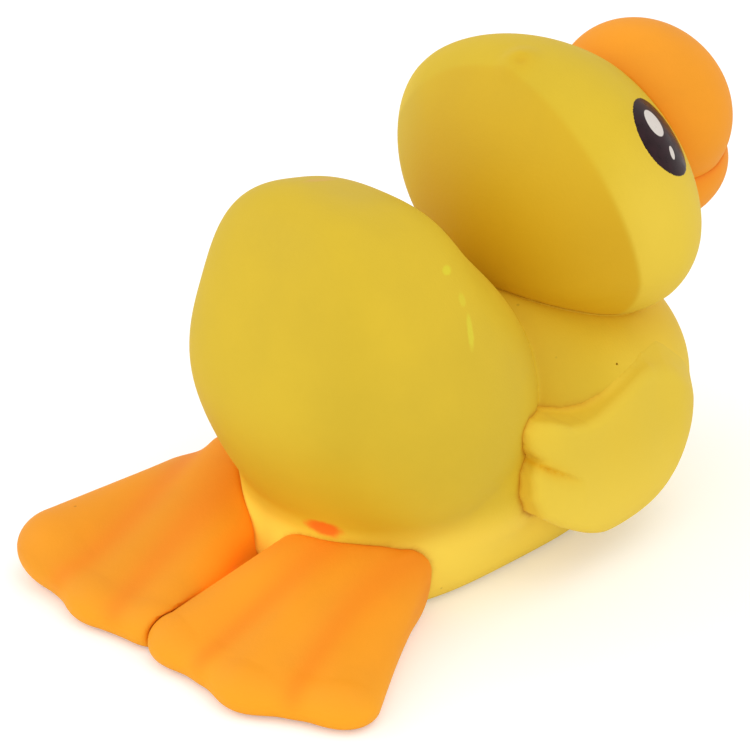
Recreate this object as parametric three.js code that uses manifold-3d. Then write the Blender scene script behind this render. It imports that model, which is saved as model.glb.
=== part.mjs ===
// A floating chlorine dispenser in the form of a swimming duck.
// Millimetres, +Z up, +Y from the feet towards the bill, +X to the duck's right.
// Each soft form is a few rounded lumps that run into each other. A skin is cast on such a form from a
// point inside it, and neighbours are cut back by the same form a little further out, so that they meet.

import * as THREE from "three";
import { mergeVertices } from "three/addons/utils/BufferGeometryUtils.js";
import Module from "manifold-3d";

const wasm = await Module();
wasm.setup();

// Walls and clearances.
const shellWall = 2.6;
const seatGap = 0.3;
const runningGap = 0.6;
const cutOverrun = 1;
const baseRecess = 1;

// Lumps of the body: a raised rump, its tail end, a low breast and a flat keel. Turns are in degrees.
const rump = { y: 83.9, z: 70.6, width: 124.3, length: 110.4, height: 111.7, exponent: 2, pitch: -9.5 };
const tail = { y: 62, z: 108.8, width: 89.5, length: 65, height: 86.2, exponent: 2.9, pitch: -13.1 };
const breast = { y: 160.5, z: 51.6, width: 130.1, length: 127.1, height: 96.9, exponent: 1.94 };
const keel = { y: 116, z: 26, width: 93.3, length: 152, height: 68, exponent: 3.2 };
const rumpBlend = 30;
const bodyBlend = 6;

// The head. Forward and rise are measured along its own tilted axes. The nape is a large ball that cuts the
// back of the skull off along a soft edge.
const headPitch = 13;
const skull = {
  x: 1,
  y: 169.6,
  z: 127.7,
  width: 134.4,
  length: 93.2,
  height: 104.5,
  exponent: 1.78,
  pitch: headPitch,
  roll: 15.7,
};
const nape = { depth: 41.9, rise: -20.5, aside: -3.8, width: 190.3 };
const napeBlend = 6;
const crownNub = { forward: -3.7, rise: 47.5, width: 12, blend: 5 };
const bill = { forward: 53.9, rise: 0.5, width: 72.2, length: 60.4, height: 69.6, tilt: 7.6 };
const jaw = { forward: 52.5, rise: -22.8, width: 62.9, length: 62, height: 45.4, tilt: 0 };
const billWall = 2.4;
const spigotWidth = 16;
const jawPegRise = -33;
const jawPegSpread = 12;

// The eyes, oval inlays looked for along a ray from the middle of the head.
const eyeRay = { side: 50, forward: 20, rise: 25.6 };
const eyeLean = { side: 24.2, forward: -8.4, rise: -19.2 };
const eyeHeight = 33;
const eyeWidth = 29;
const eyeProud = 0.9;
const eyeDepth = 1.3;

// A wing: an arm along the body's side and two feather tips that point back.
const arm = {
  x: 49,
  y: 163.3,
  z: 40.9,
  width: 32.8,
  length: 67.8,
  height: 56.6,
  exponent: 2.2,
  pitch: -20,
  yaw: 4,
};
const upperFeather = { x: 60, y: 130, z: 56, width: 24, length: 72, height: 27, pitch: -28, yaw: 6 };
const lowerFeather = { x: 59, y: 130, z: 36, width: 24, length: 60, height: 31, pitch: -26, yaw: 4 };
const featherBlend = 3;
const wingBlend = 9;
const rearWingPeg = { ahead: -17, rise: 7 };
const foreWingPeg = { ahead: 9, rise: 1 };

// A foot: three toes from the ankle to their tips, and two webs between them. The feet are not twins.
const rightInnerToe = {
  rootX: 16,
  rootY: 50,
  rootZ: 25,
  tipX: 4,
  tipY: -9.1,
  tipZ: 6,
  rootWidth: 30,
  tipWidth: 25.7,
};
const rightMiddleToe = {
  rootX: 28,
  rootY: 56,
  rootZ: 26,
  tipX: 40.3,
  tipY: -9.2,
  tipZ: 6,
  rootWidth: 30,
  tipWidth: 25.3,
};
const rightOuterToe = {
  rootX: 35.3,
  rootY: 59.2,
  rootZ: 20,
  tipX: 69.1,
  tipY: 7.5,
  tipZ: 6,
  rootWidth: 25.3,
  tipWidth: 23.9,
};
const leftInnerToe = {
  rootX: -34,
  rootY: 50,
  rootZ: 24,
  tipX: -11.3,
  tipY: -7.6,
  tipZ: 6,
  rootWidth: 26,
  tipWidth: 23.7,
};
const leftMiddleToe = {
  rootX: -44.8,
  rootY: 57.7,
  rootZ: 28.5,
  tipX: -37.4,
  tipY: -13,
  tipZ: 6,
  rootWidth: 32.2,
  tipWidth: 25.5,
};
const leftOuterToe = {
  rootX: -60.4,
  rootY: 47.5,
  rootZ: 18.9,
  tipX: -67.2,
  tipY: -6.8,
  tipZ: 11.9,
  rootWidth: 36.4,
  tipWidth: 34.8,
};
const rightToes = [rightInnerToe, rightMiddleToe, rightOuterToe];
const leftToes = [leftInnerToe, leftMiddleToe, leftOuterToe];
const toeFlatShare = 0.75;
const webRootWidth = 27;
const webTipWidth = 23;
const webFlatShare = 0.6;
const webReachShare = 0.97;
const toeBlend = 8;
const soleDrop = 3;
const footPegZ = 17;
const innerFootPegShare = 0.54;
const outerFootPegShare = 0.8;

// Pegs that hold wings, feet and jaw in the shells.
const pegWidth = 6;
const pegRoot = 5;
const pegReach = 4;

// The neck: a joining tube with a thick collar round it in both shells.
const neckY = 166;
const neckWidth = 32;
const neckWall = 2.6;
const neckCollarWidth = 42;
const neckReach = 11;

// The tablet chamber, worked out from the tablet outwards.
const chamberY = 128;
const tabletWidth = 25.4;
const tabletRoom = 1.6;
const basketWall = 2;
const cupWall = 2;
const hubWall = 3.1;
const flangeReach = 7.2;
const flangeThickness = 3;
const gasketThickness = 2;
const hubTop = 11;
const cupTop = 64.5;
const crownThickness = 2.5;
const landDepth = 10;
const landReach = 4;
const nippleWidth = 4.4;
const nippleBore = 2.2;
const nippleHeight = 6;

// The screws: four through the flange and one on the turning axis.
const screwCount = 4;
const screwWidth = 2.5;
const screwHeadWidth = 5;
const screwHeadHeight = 1.7;
const screwReach = 9;
const crossLengthShare = 0.62;
const crossWidthShare = 0.16;
const crossDepthShare = 0.6;

// The lock cap: a bayonet disc with lugs, and a grip rim round the dial.
const lugCount = 3;
const lugReach = 3.2;
const lugAngle = 24;
const lugThickness = 2;
const lockTurn = 40;
const lockSlack = 2;
const ledgeThickness = 2.3;
const capThickness = 4.5;
const rimWidth = 3.2;
const rimNotchCount = 12;
const rimNotchWidth = 2.2;

// The dial under the cap. Its windows meet the cap's, or close them after a turn.
const dialThickness = 2;
const windowCount = 4;
const windowAngle = 40;
const windowInner = 4.6;
const windowOuter = 11;
const dialTabWidth = 2.4;
const dialTabHeight = 1.1;
const dialTabInnerShare = 0.35;
const dialTabOuterShare = 0.9;
const pivotWidth = 2.6;
const pivotHeadWidth = 6.4;
const pivotReach = 15;

// The basket.
const basketFloor = 2;
const basketTop = 58;
const basketBossWidth = 7.6;
const basketBossHeight = 6;
const basketSlotCount = 8;
const basketSlotWidth = 4;
const basketTierCount = 2;
const basketBand = 5;
const floorHoleCount = 6;
const floorHoleWidth = 4;
const floorHoleRing = 9.6;
const keyAngle = 300;
const keyWidth = 3;
const keyReach = 1.3;

// Ballast crescents round the chamber, dropped over posts on the hull's floor.
const ballastGap = 1.5;
const ballastHeight = 8;
const frontBallast = { depth: 11, halfAngle: 38 };
const rearBallast = { depth: 24, halfAngle: 36 };
const postWidth = 5;
const postHeight = 9;

// The vent: a hose from the chamber's crown to a pinhole behind the right shoulder.
const pinhole = { x: 54.8, y: 152.9, z: 76.1 };
const pinholeWidth = 1.8;
const ventNippleReach = 7;
const hoseWall = 1.5;
const hoseBend = { x: 14, y: 137, z: 79 };
const hoseStraight = 6;
const hoseStepCount = 16;

// How finely skins are cut up: each edge of the first twenty triangles is split into this many.
const bodyEdgeCount = 10;
const headEdgeCount = 7;
const billEdgeCount = 5;
const wingEdgeCount = 5;
const footEdgeCount = 6;
const linerEdgeCount = 6;
const halvingCount = 26;
const largeSideCount = 28;
const smallSideCount = 10;
const smallWidth = 12;
const farOut = 1000;

// Everything below follows from the sizes above.
const degrees = Math.PI / 180;
const basketInner = tabletWidth / 2 + tabletRoom;
const basketOuter = basketInner + basketWall;
const bore = basketOuter + runningGap;
const cupOuter = bore + cupWall;
const hubOuter = bore + lugReach + hubWall - runningGap;
const flangeOuter = hubOuter + flangeReach;
const screwRing = hubOuter + flangeReach / 2;
const headTop = baseRecess + screwHeadHeight;
const flangeBottom = headTop + seatGap;
const flangeTop = flangeBottom + flangeThickness;
const gasketBottom = flangeTop + seatGap;
const gasketTop = gasketBottom + gasketThickness;
const landBottom = gasketTop + seatGap;
const landTop = landBottom + landDepth;
const pocketOuter = flangeOuter + seatGap;
const ledgeTop = flangeBottom + ledgeThickness;
const lugBottom = ledgeTop + seatGap;
const lugTop = lugBottom + lugThickness;
const dialBottom = headTop + seatGap;
const dialTop = dialBottom + dialThickness;
const capBottom = dialTop + seatGap;
const capTop = capBottom + capThickness;
const basketBottom = capTop + seatGap;
const dialOuter = basketOuter - rimWidth - seatGap;

const v = (x, y, z) => new THREE.Vector3(x, y, z);
const side = v(1, 0, 0);
const forward = v(0, 1, 0);
const up = v(0, 0, 1);
const at = ({ x = 0, y = 0, z = 0 }) => v(x, y, z);
const chamber = v(0, chamberY, 0);
const mirrored = (item, hand) => ({ ...item, x: item.x * hand, yaw: (item.yaw ?? 0) * hand });

// Distance of a point from a rounded lump: an ellipsoid at exponent 2, boxier above it.
function lump({ x = 0, y, z, width, length, height, exponent = 2, pitch = 0, yaw = 0, roll = 0 }) {
  const half = v(width, length, height).multiplyScalar(0.5);
  const turn = new THREE.Euler(pitch * degrees, roll * degrees, yaw * degrees, "ZXY");
  const back = new THREE.Matrix4().makeRotationFromEuler(turn).transpose();
  const centre = v(x, y, z);
  const least = Number.EPSILON;
  return (point) => {
    const local = point.clone().sub(centre).applyMatrix4(back).divide(half);
    const shares = [Math.abs(local.x), Math.abs(local.y), Math.abs(local.z)];
    const reach = Math.max(shares.reduce((sum, s) => sum + s ** exponent, 0) ** (1 / exponent), least);
    const slopes = shares.map((s, i) => (s / reach) ** (exponent - 1) / half.getComponent(i));
    return (reach - 1) / Math.max(Math.hypot(...slopes), least);
  };
}

// A round bar from one point to another, with its own width at each end. It is flattened above its axis
// and drawn down below it, so that it stands on the floor along its whole length.
function bar(from, to, fromWidth, toWidth, flat) {
  const run = to.clone().sub(from);
  const runSquared = run.x ** 2 + run.y ** 2;
  return (point) => {
    const local = point.clone().sub(from);
    const share = THREE.MathUtils.clamp((local.x * run.x + local.y * run.y) / runSquared, 0, 1);
    const radius = THREE.MathUtils.lerp(fromWidth, toWidth, share) / 2;
    local.addScaledVector(run, -share);
    const depth = (point.z - local.z + soleDrop) / radius;
    local.z /= local.z > 0 ? flat : depth;
    return (local.length() - radius) * flat;
  };
}

// Forms that run into each other over a soft valley.
function blend(radius, ...forms) {
  return (point) =>
    forms
      .map((form) => form(point))
      .reduce((a, b) => Math.min(a, b) - Math.max(radius - Math.abs(a - b), 0) ** 2 / (4 * radius));
}

// What two forms share, with a rounded edge between them.
function shared(radius, one, other) {
  return (point) => {
    const a = one(point);
    const b = other(point);
    return Math.max(a, b) + Math.max(radius - Math.abs(a - b), 0) ** 2 / (4 * radius);
  };
}

// Where a ray from inside a form reaches the given level.
function reached(form, from, ray, level = 0) {
  const point = v(0, 0, 0);
  let inside = 0;
  let outside = farOut / ray.length();
  for (let halving = 0; halving < halvingCount; halving += 1) {
    const middle = (inside + outside) / 2;
    point.copy(from).addScaledVector(ray, middle);
    if (form(point) < level) inside = middle;
    else outside = middle;
  }
  return point.copy(from).addScaledVector(ray, inside);
}

// The direction that points straight out of a form at a point.
function outward(form, point) {
  const step = seatGap;
  const slope = [side, forward, up].map((axis) => {
    const ahead = form(point.clone().addScaledVector(axis, step));
    return ahead - form(point.clone().addScaledVector(axis, -step));
  });
  return v(...slope).normalize();
}

// The closed surface of geometry, as a solid that can be cut and joined.
function solid(geometry) {
  const bare = new THREE.BufferGeometry();
  const source = geometry.index ? geometry.toNonIndexed() : geometry;
  bare.setAttribute("position", source.getAttribute("position"));
  const merged = mergeVertices(bare);
  const shape = new wasm.Mesh({
    numProp: 3,
    vertProperties: merged.attributes.position.array,
    triVerts: new Uint32Array(merged.index.array),
  });
  return new wasm.Manifold(shape);
}

// Casts a skin on a form: along each ray from its heart, the point where the form's distance is the level.
function skin(form, heart, edgeCount, level = 0) {
  const ball = new THREE.IcosahedronGeometry(1, edgeCount - 1);
  const place = ball.getAttribute("position");
  const stretch = v(heart.width, heart.length, heart.height).multiplyScalar(0.5);
  const centre = at(heart);
  const ray = v(0, 0, 0);
  for (let i = 0; i < place.count; i += 1) {
    ray.fromBufferAttribute(place, i).multiply(stretch);
    place.setXYZ(i, ...reached(form, centre, ray, level).toArray());
  }
  return solid(ball);
}

// A round rod between two points.
function rod(width, from, to) {
  const run = to.clone().sub(from);
  const sides = width > smallWidth ? largeSideCount : smallSideCount;
  const bare = new THREE.CylinderGeometry(width / 2, width / 2, run.length(), sides);
  bare.applyQuaternion(new THREE.Quaternion().setFromUnitVectors(forward, run.normalize()));
  const middle = from.clone().add(to).multiplyScalar(0.5);
  return solid(bare.translate(...middle.toArray()));
}

// An upright rod of a given radius between two heights.
function post(radius, bottom, top, place = chamber) {
  return rod(radius * 2, v(place.x, place.y, bottom), v(place.x, place.y, top));
}

// An upright tube.
function tube(outer, inner, bottom, top, place = chamber) {
  return post(outer, bottom, top, place).subtract(
    post(inner, bottom - cutOverrun, top + cutOverrun, place),
  );
}

// A piece of an upright tube between two angles, measured from +X.
function sector(outer, inner, bottom, top, from, to) {
  const outline = new THREE.Shape();
  outline.absarc(0, 0, outer, from * degrees, to * degrees, false);
  outline.absarc(0, 0, inner, to * degrees, from * degrees, true);
  const bare = new THREE.ExtrudeGeometry(outline, {
    depth: top - bottom,
    bevelEnabled: false,
    curveSegments: smallSideCount / 2,
  });
  return solid(bare.translate(chamber.x, chamber.y, bottom));
}

// An upright block on the chamber's axis, turned about it.
function block(width, length, bottom, top, angle = 0, distance = 0) {
  const bare = new THREE.BoxGeometry(length, width, top - bottom);
  bare.translate(distance, 0, (bottom + top) / 2);
  return solid(bare.rotateZ(angle * degrees).translate(...chamber.toArray()));
}

const joined = (shapes) => shapes.reduce((whole, shape) => whole.add(shape));
const around = (count, make) => joined(Array.from({ length: count }, (_, i) => make((i * 360) / count)));

// The soft forms.
const body = blend(bodyBlend, blend(rumpBlend, lump(rump), lump(tail)), lump(breast), lump(keel));
const bodyHeart = {
  y: (rump.y + breast.y) / 2,
  z: breast.z,
  width: breast.width,
  length: rump.length + breast.length / 2,
  height: rump.height,
};

const headTurn = new THREE.Euler(headPitch * degrees, 0, 0);
const headForward = forward.clone().applyEuler(headTurn);
const headUp = up.clone().applyEuler(headTurn);
const headCentre = at(skull);
const onHead = (ahead, rise) =>
  headCentre.clone().addScaledVector(headForward, ahead).addScaledVector(headUp, rise);
// A lump placed by a point on the head.
const lumpAt = (place, sizes) => ({ ...sizes, x: place.x, y: place.y, z: place.z });
const nubPlace = onHead(crownNub.forward, crownNub.rise);
const nub = lumpAt(nubPlace, { width: crownNub.width, length: crownNub.width, height: crownNub.width });
const napePlace = onHead(nape.width / 2 - nape.depth, nape.rise).addScaledVector(side, nape.aside);
const napeBall = lumpAt(napePlace, { width: nape.width, length: nape.width, height: nape.width });
const head = blend(crownNub.blend, shared(napeBlend, lump(skull), lump(napeBall)), lump(nub));
const headHeart = {
  x: skull.x,
  y: skull.y,
  z: skull.z,
  width: skull.width,
  length: skull.length,
  height: skull.height,
};

function beak({ forward: ahead, rise, width, length, height, tilt }) {
  return lumpAt(onHead(ahead, rise), { width, length, height, pitch: headPitch + tilt });
}
const billForm = lump(beak(bill));
const jawForm = lump(beak(jaw));

function wingForm(hand) {
  const [root, upper, lower] = [arm, upperFeather, lowerFeather].map((piece) => lump(mirrored(piece, hand)));
  return blend(wingBlend, root, blend(featherBlend, upper, lower));
}

const wingHeart = {
  x: arm.x,
  y: (arm.y + upperFeather.y) / 2,
  z: (upperFeather.z + lowerFeather.z) / 2,
  width: arm.width,
  length: (arm.length + upperFeather.length) / 2,
  height: upperFeather.height + lowerFeather.height,
};

function footForm(toes) {
  const roots = toes.map((toe) => v(toe.rootX, toe.rootY, toe.rootZ));
  const tips = toes.map((toe) => v(toe.tipX, toe.tipY, toe.tipZ));
  const bars = toes.map((toe, i) => bar(roots[i], tips[i], toe.rootWidth, toe.tipWidth, toeFlatShare));
  const webs = roots.slice(1).map((root, i) => {
    const start = root.clone().lerp(roots[i], 0.5);
    const end = tips[i].clone().lerp(tips[i + 1], 0.5);
    const short = start.clone().lerp(end, webReachShare);
    return bar(start, short, webRootWidth, webTipWidth, webFlatShare);
  });
  return blend(toeBlend, ...bars, ...webs);
}

function footHeart([inner, middle, outer]) {
  return {
    x: (middle.rootX + middle.tipX) / 2,
    y: (middle.rootY + middle.tipY) / 2,
    z: middle.tipZ + soleDrop,
    width: Math.abs(outer.tipX - inner.tipX) + middle.tipWidth,
    length: middle.rootY - middle.tipY + middle.tipWidth,
    height: middle.rootZ,
  };
}

// Skins that several pieces share.
const aboveFloor = solid(new THREE.BoxGeometry(farOut, farOut, farOut).translate(0, 0, farOut / 2));
const bodySkin = skin(body, bodyHeart, bodyEdgeCount);
const bodySeat = skin(body, bodyHeart, bodyEdgeCount, seatGap);
const bodyFloor = solid(
  new THREE.BoxGeometry(farOut, farOut, farOut).translate(0, 0, farOut / 2 + shellWall),
);
const bodyLiner = skin(body, bodyHeart, linerEdgeCount, -shellWall).intersect(bodyFloor);
const headSkin = skin(head, headHeart, headEdgeCount);
const headSeat = skin(head, headHeart, headEdgeCount, seatGap);
const billSeat = skin(billForm, beak(bill), billEdgeCount, seatGap);

// The neck's place: straight up from the breast to the skin.
const neckTop = reached(body, v(0, neckY, breast.z), up).z;
const neckPlace = v(0, neckY, 0);
const neckLow = neckTop - neckReach;
const neckHigh = neckTop + neckReach;
const neckHole = post(neckWidth / 2 + seatGap, neckLow - neckReach, neckHigh + neckReach, neckPlace);
const neckCollar = post(neckCollarWidth / 2, neckLow - seatGap, neckHigh + seatGap, neckPlace);

// Pegs for the wings and feet. Each is held by its place on the body's skin and the way it points.
function sidePegs(hand) {
  const out = v(hand, 0, 0);
  return [rearWingPeg, foreWingPeg].map(({ ahead, rise }) => {
    return { on: reached(body, v(0, arm.y + ahead, arm.z + rise), out), way: out };
  });
}
function rearPegs(hand) {
  const back = v(0, -1, 0);
  return [innerFootPegShare, outerFootPegShare].map((share) => {
    const from = v((hand * keel.width * share) / 2, rump.y, footPegZ);
    return { on: reached(body, from, back), way: back };
  });
}
function jawPegs() {
  return [-1, 1].map((hand) => {
    const from = onHead(0, jawPegRise).addScaledVector(side, hand * jawPegSpread);
    return { on: reached(head, from, headForward), way: headForward };
  });
}
function pegRod({ on, way }, room) {
  const inner = on.clone().addScaledVector(way, -(shellWall + pegReach + room));
  return rod(pegWidth + room * 2, inner, on.clone().addScaledVector(way, pegRoot));
}
const pegs = (places) => joined(places.map((place) => pegRod(place, 0)));
const pegHoles = (places) => joined(places.map((place) => pegRod(place, seatGap)));

// The vent's pinhole, its nipple inside the shell and the hose.
const pinholePlace = at(pinhole);
const pinholeOut = outward(body, pinholePlace);
const pinholeSkin = reached(body, pinholePlace.clone().addScaledVector(pinholeOut, -shellWall), pinholeOut);
const pinholeInner = pinholeSkin.clone().addScaledVector(pinholeOut, -(shellWall + ventNippleReach));
const pinholeOuter = pinholeSkin.clone().addScaledVector(pinholeOut, shellWall);
const ventNipple = rod(nippleWidth, pinholeInner, pinholeSkin).intersect(bodySkin);
const ventBore = rod(pinholeWidth, pinholeInner.clone().addScaledVector(pinholeOut, -cutOverrun), pinholeOuter);

function makeHose() {
  const start = v(chamber.x, chamber.y, cupTop + seatGap);
  const nippleEnd = v(chamber.x, chamber.y, cupTop + nippleHeight);
  const end = pinholeSkin.clone().addScaledVector(pinholeOut, -shellWall);
  const rise = nippleEnd.clone().addScaledVector(up, hoseStraight);
  const approach = pinholeInner.clone().addScaledVector(pinholeOut, -hoseStraight);
  const stops = [start, nippleEnd, rise, at(hoseBend), approach, pinholeInner, end];
  const path = new THREE.CatmullRomCurve3(stops);
  const outline = new THREE.Shape().absarc(0, 0, nippleWidth / 2 + seatGap + hoseWall, 0, 2 * Math.PI);
  outline.holes.push(new THREE.Path().absarc(0, 0, nippleWidth / 2 + seatGap, 0, 2 * Math.PI));
  const bare = new THREE.ExtrudeGeometry(outline, {
    steps: hoseStepCount,
    extrudePath: path,
    bevelEnabled: false,
    curveSegments: smallSideCount / 2,
  });
  return solid(bare);
}

// Screws.
function cross(width, place) {
  const arms = [[crossLengthShare, crossWidthShare], [crossWidthShare, crossLengthShare]];
  const depth = screwHeadHeight * crossDepthShare;
  const cuts = arms.map(([long, wide]) => {
    const bare = new THREE.BoxGeometry(width * long, width * wide, depth + cutOverrun);
    return solid(bare.translate(place.x, place.y, baseRecess + (depth - cutOverrun) / 2));
  });
  return joined(cuts);
}
function screw(width, headWidth, top, place) {
  const shank = post(width / 2, headTop - cutOverrun, top, place);
  return post(headWidth / 2, baseRecess, headTop, place).add(shank).subtract(cross(headWidth, place));
}
const screwPlaces = Array.from({ length: screwCount }, (_, i) => {
  const angle = ((i + 0.5) * 2 * Math.PI) / screwCount;
  return v(Math.cos(angle) * screwRing, chamberY + Math.sin(angle) * screwRing, 0);
});
const screwTop = landBottom + screwReach - seatGap;
function screwHoles(bottom, top) {
  return joined(screwPlaces.map((place) => post(screwWidth / 2 + seatGap, bottom, top, place)));
}

// The ballast crescents and the posts they drop over.
function crescent({ depth, halfAngle }, middle) {
  const inner = flangeOuter + landReach + ballastGap;
  const bottom = shellWall + seatGap;
  return sector(inner + depth, inner, bottom, bottom + ballastHeight, middle - halfAngle, middle + halfAngle);
}
function ballastPost({ depth }, way, room) {
  const distance = flangeOuter + landReach + ballastGap + depth / 2;
  const place = v(0, chamberY + way * distance, 0);
  return post(postWidth / 2 + room, room ? 0 : shellWall / 2, shellWall + postHeight + room, place);
}
const bodyRoom = skin(body, bodyHeart, linerEdgeCount, -(shellWall + seatGap));

// The body shell.
function makeBody() {
  const land = post(flangeOuter + landReach, 0, landTop);
  const inside = bodyLiner.subtract(neckCollar).subtract(land);
  const hollow = bodySkin.intersect(aboveFloor).subtract(inside);
  const fitted = hollow
    .add(ventNipple)
    .add(ballastPost(frontBallast, 1, 0))
    .add(ballastPost(rearBallast, -1, 0));
  return fitted
    .subtract(post(pocketOuter, -cutOverrun, landBottom))
    .subtract(post(hubOuter + seatGap, 0, landTop + cutOverrun))
    .subtract(screwHoles(0, landBottom + screwReach))
    .subtract(neckHole)
    .subtract(ventBore)
    .subtract(joined([1, -1].flatMap((hand) => [pegHoles(sidePegs(hand)), pegHoles(rearPegs(hand))])));
}

// The head shell, with its own floor that follows the body.
function eyePlace(hand) {
  const ray = headForward.clone().multiplyScalar(eyeRay.forward).addScaledVector(headUp, eyeRay.rise);
  const on = reached(head, headCentre, ray.addScaledVector(side, hand * eyeRay.side));
  const out = outward(head, on);
  const lean = v(-hand * eyeLean.side, -eyeLean.forward, -eyeLean.rise);
  const long = lean.addScaledVector(out, -lean.dot(out)).normalize();
  return { on, out, long };
}
function eyeCylinder(hand, room) {
  const { on, out, long } = eyePlace(hand);
  const bare = new THREE.CylinderGeometry(0.5, 0.5, eyeHeight, largeSideCount);
  bare.rotateX(Math.PI / 2).scale(eyeWidth + room * 2, eyeHeight + room * 2, 1);
  const basis = new THREE.Matrix4().makeBasis(long.clone().cross(out), long, out).setPosition(on);
  return solid(bare.applyMatrix4(basis));
}
function makeHead() {
  const floor = skin(body, bodyHeart, bodyEdgeCount, seatGap + shellWall);
  const liner = skin(head, headHeart, linerEdgeCount, -shellWall).subtract(floor).subtract(neckCollar);
  const pocketFloor = skin(head, headHeart, headEdgeCount, -(eyeDepth + seatGap));
  const pockets = joined([1, -1].map((hand) => eyeCylinder(hand, seatGap))).subtract(pocketFloor);
  return headSkin
    .subtract(bodySeat)
    .subtract(liner)
    .subtract(neckHole)
    .subtract(pockets)
    .subtract(pegHoles(jawPegs()))
    .subtract(spigotRod(spigotWidth + seatGap * 2, cutOverrun));
}
function makeEye(hand) {
  const cover = skin(head, headHeart, headEdgeCount, eyeProud);
  const back = skin(head, headHeart, headEdgeCount, -eyeDepth);
  return eyeCylinder(hand, 0).intersect(cover).subtract(back);
}

// The bills.
function spigotRod(width, room = 0) {
  const on = reached(head, onHead(0, bill.rise), headForward);
  const inner = on.clone().addScaledVector(headForward, -(shellWall + pegReach + room));
  return rod(width, inner, on.clone().addScaledVector(headForward, seatGap + billWall / 2 + room * 2));
}
function makeBill() {
  const back = skin(head, headHeart, headEdgeCount, seatGap + billWall);
  const liner = skin(billForm, beak(bill), billEdgeCount, -billWall).subtract(back);
  const outer = skin(billForm, beak(bill), billEdgeCount).subtract(headSeat);
  const spigotBore = spigotRod(spigotWidth - billWall * 2, cutOverrun);
  return outer.subtract(liner).add(spigotRod(spigotWidth)).subtract(spigotBore);
}
function makeJaw() {
  const outer = skin(jawForm, beak(jaw), billEdgeCount).subtract(headSeat).subtract(billSeat);
  return outer.add(pegs(jawPegs()).subtract(billSeat));
}

// The wings and feet.
function makeWing(hand) {
  const heart = mirrored(wingHeart, hand);
  const wing = skin(wingForm(hand), heart, wingEdgeCount).subtract(bodySeat).intersect(aboveFloor);
  return wing.add(pegs(sidePegs(hand)));
}
function footSkin(toes, level) {
  return skin(footForm(toes), footHeart(toes), footEdgeCount, level).intersect(aboveFloor);
}
function makeFoot(toes, hand) {
  return footSkin(toes, 0).subtract(bodySeat).add(pegs(rearPegs(hand)));
}

// The cup that hangs in the body, its flange, hub, bayonet and keyway.
function makeCup() {
  const outside = post(cupOuter, flangeBottom, cupTop)
    .add(post(hubOuter, flangeBottom, hubTop))
    .add(post(flangeOuter, flangeBottom, flangeTop))
    .add(post(nippleWidth / 2, cupTop - cutOverrun, cupTop + nippleHeight));
  const lugRoom = bore + lugReach;
  const half = lugAngle / 2 + lockSlack;
  const entries = around(lugCount, (angle) =>
    sector(lugRoom, bore - cutOverrun, flangeBottom - cutOverrun, lugTop + seatGap, angle - half, angle + half),
  );
  const grooves = around(lugCount, (angle) =>
    sector(lugRoom, bore - cutOverrun, ledgeTop, lugTop + seatGap, angle - half, angle + half + lockTurn),
  );
  const keyway = block(
    keyWidth + runningGap,
    bore + keyReach,
    flangeBottom - cutOverrun,
    basketTop + runningGap,
    keyAngle,
    (bore + keyReach) / 2,
  );
  return outside
    .subtract(post(bore, flangeBottom - cutOverrun, cupTop - crownThickness))
    .subtract(post(nippleBore / 2, cupTop - crownThickness - cutOverrun, cupTop + nippleHeight + cutOverrun))
    .subtract(entries)
    .subtract(grooves)
    .subtract(keyway)
    .subtract(screwHoles(flangeBottom - cutOverrun, flangeTop + cutOverrun));
}
// The basket.
function makeBasket() {
  const wall = tube(basketOuter, basketInner, basketBottom, basketTop);
  const key = block(
    keyWidth,
    basketWall + keyReach,
    basketBottom,
    basketTop,
    keyAngle,
    basketInner + (basketWall + keyReach) / 2,
  );
  const floorTop = basketBottom + basketFloor;
  const tier = (basketTop - floorTop - basketBand * basketTierCount) / basketTierCount;
  const slots = Array.from({ length: basketTierCount }, (_, level) => {
    const bottom = floorTop + basketBand / 2 + (basketBand + tier) * level;
    return around(basketSlotCount, (angle) => {
      const reach = basketWall * 2;
      return block(basketSlotWidth, reach, bottom, bottom + tier, angle, basketOuter - reach / 2 + cutOverrun);
    });
  });
  const holes = around(floorHoleCount, (angle) => {
    const place = v(Math.cos(angle * degrees), Math.sin(angle * degrees), 0).multiplyScalar(floorHoleRing);
    return post(floorHoleWidth / 2, basketBottom - cutOverrun, floorTop + cutOverrun, place.add(chamber));
  });
  return wall
    .subtract(joined(slots))
    .add(key)
    .add(post(basketOuter, basketBottom, floorTop))
    .add(post(basketBossWidth / 2, basketBottom, floorTop + basketBossHeight))
    .subtract(holes)
    .subtract(post(pivotWidth / 2 + seatGap, basketBottom - cutOverrun, pivotReach + seatGap));
}

// Windows through the cap and the dial.
function windows(bottom, top) {
  return around(windowCount, (angle) => {
    const half = windowAngle / 2;
    return sector(windowOuter, windowInner, bottom, top, angle - half, angle + half);
  });
}

function makeLockCap() {
  const lugs = around(lugCount, (angle) => {
    const half = lugAngle / 2;
    const outer = bore + lugReach - seatGap;
    return sector(outer, basketOuter - cutOverrun, lugBottom, lugTop, angle - half, angle + half);
  });
  const notches = around(rimNotchCount, (angle) => {
    const place = v(Math.cos(angle * degrees), Math.sin(angle * degrees), 0).multiplyScalar(basketOuter);
    return post(rimNotchWidth / 2, baseRecess - cutOverrun, capBottom, place.add(chamber));
  });
  return post(basketOuter, capBottom, capTop)
    .add(tube(basketOuter, basketOuter - rimWidth, baseRecess, capBottom + cutOverrun))
    .subtract(notches)
    .add(lugs)
    .subtract(windows(capBottom - cutOverrun, capTop + cutOverrun))
    .subtract(post(pivotWidth / 2 + seatGap, capBottom - cutOverrun, capTop + cutOverrun));
}

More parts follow.
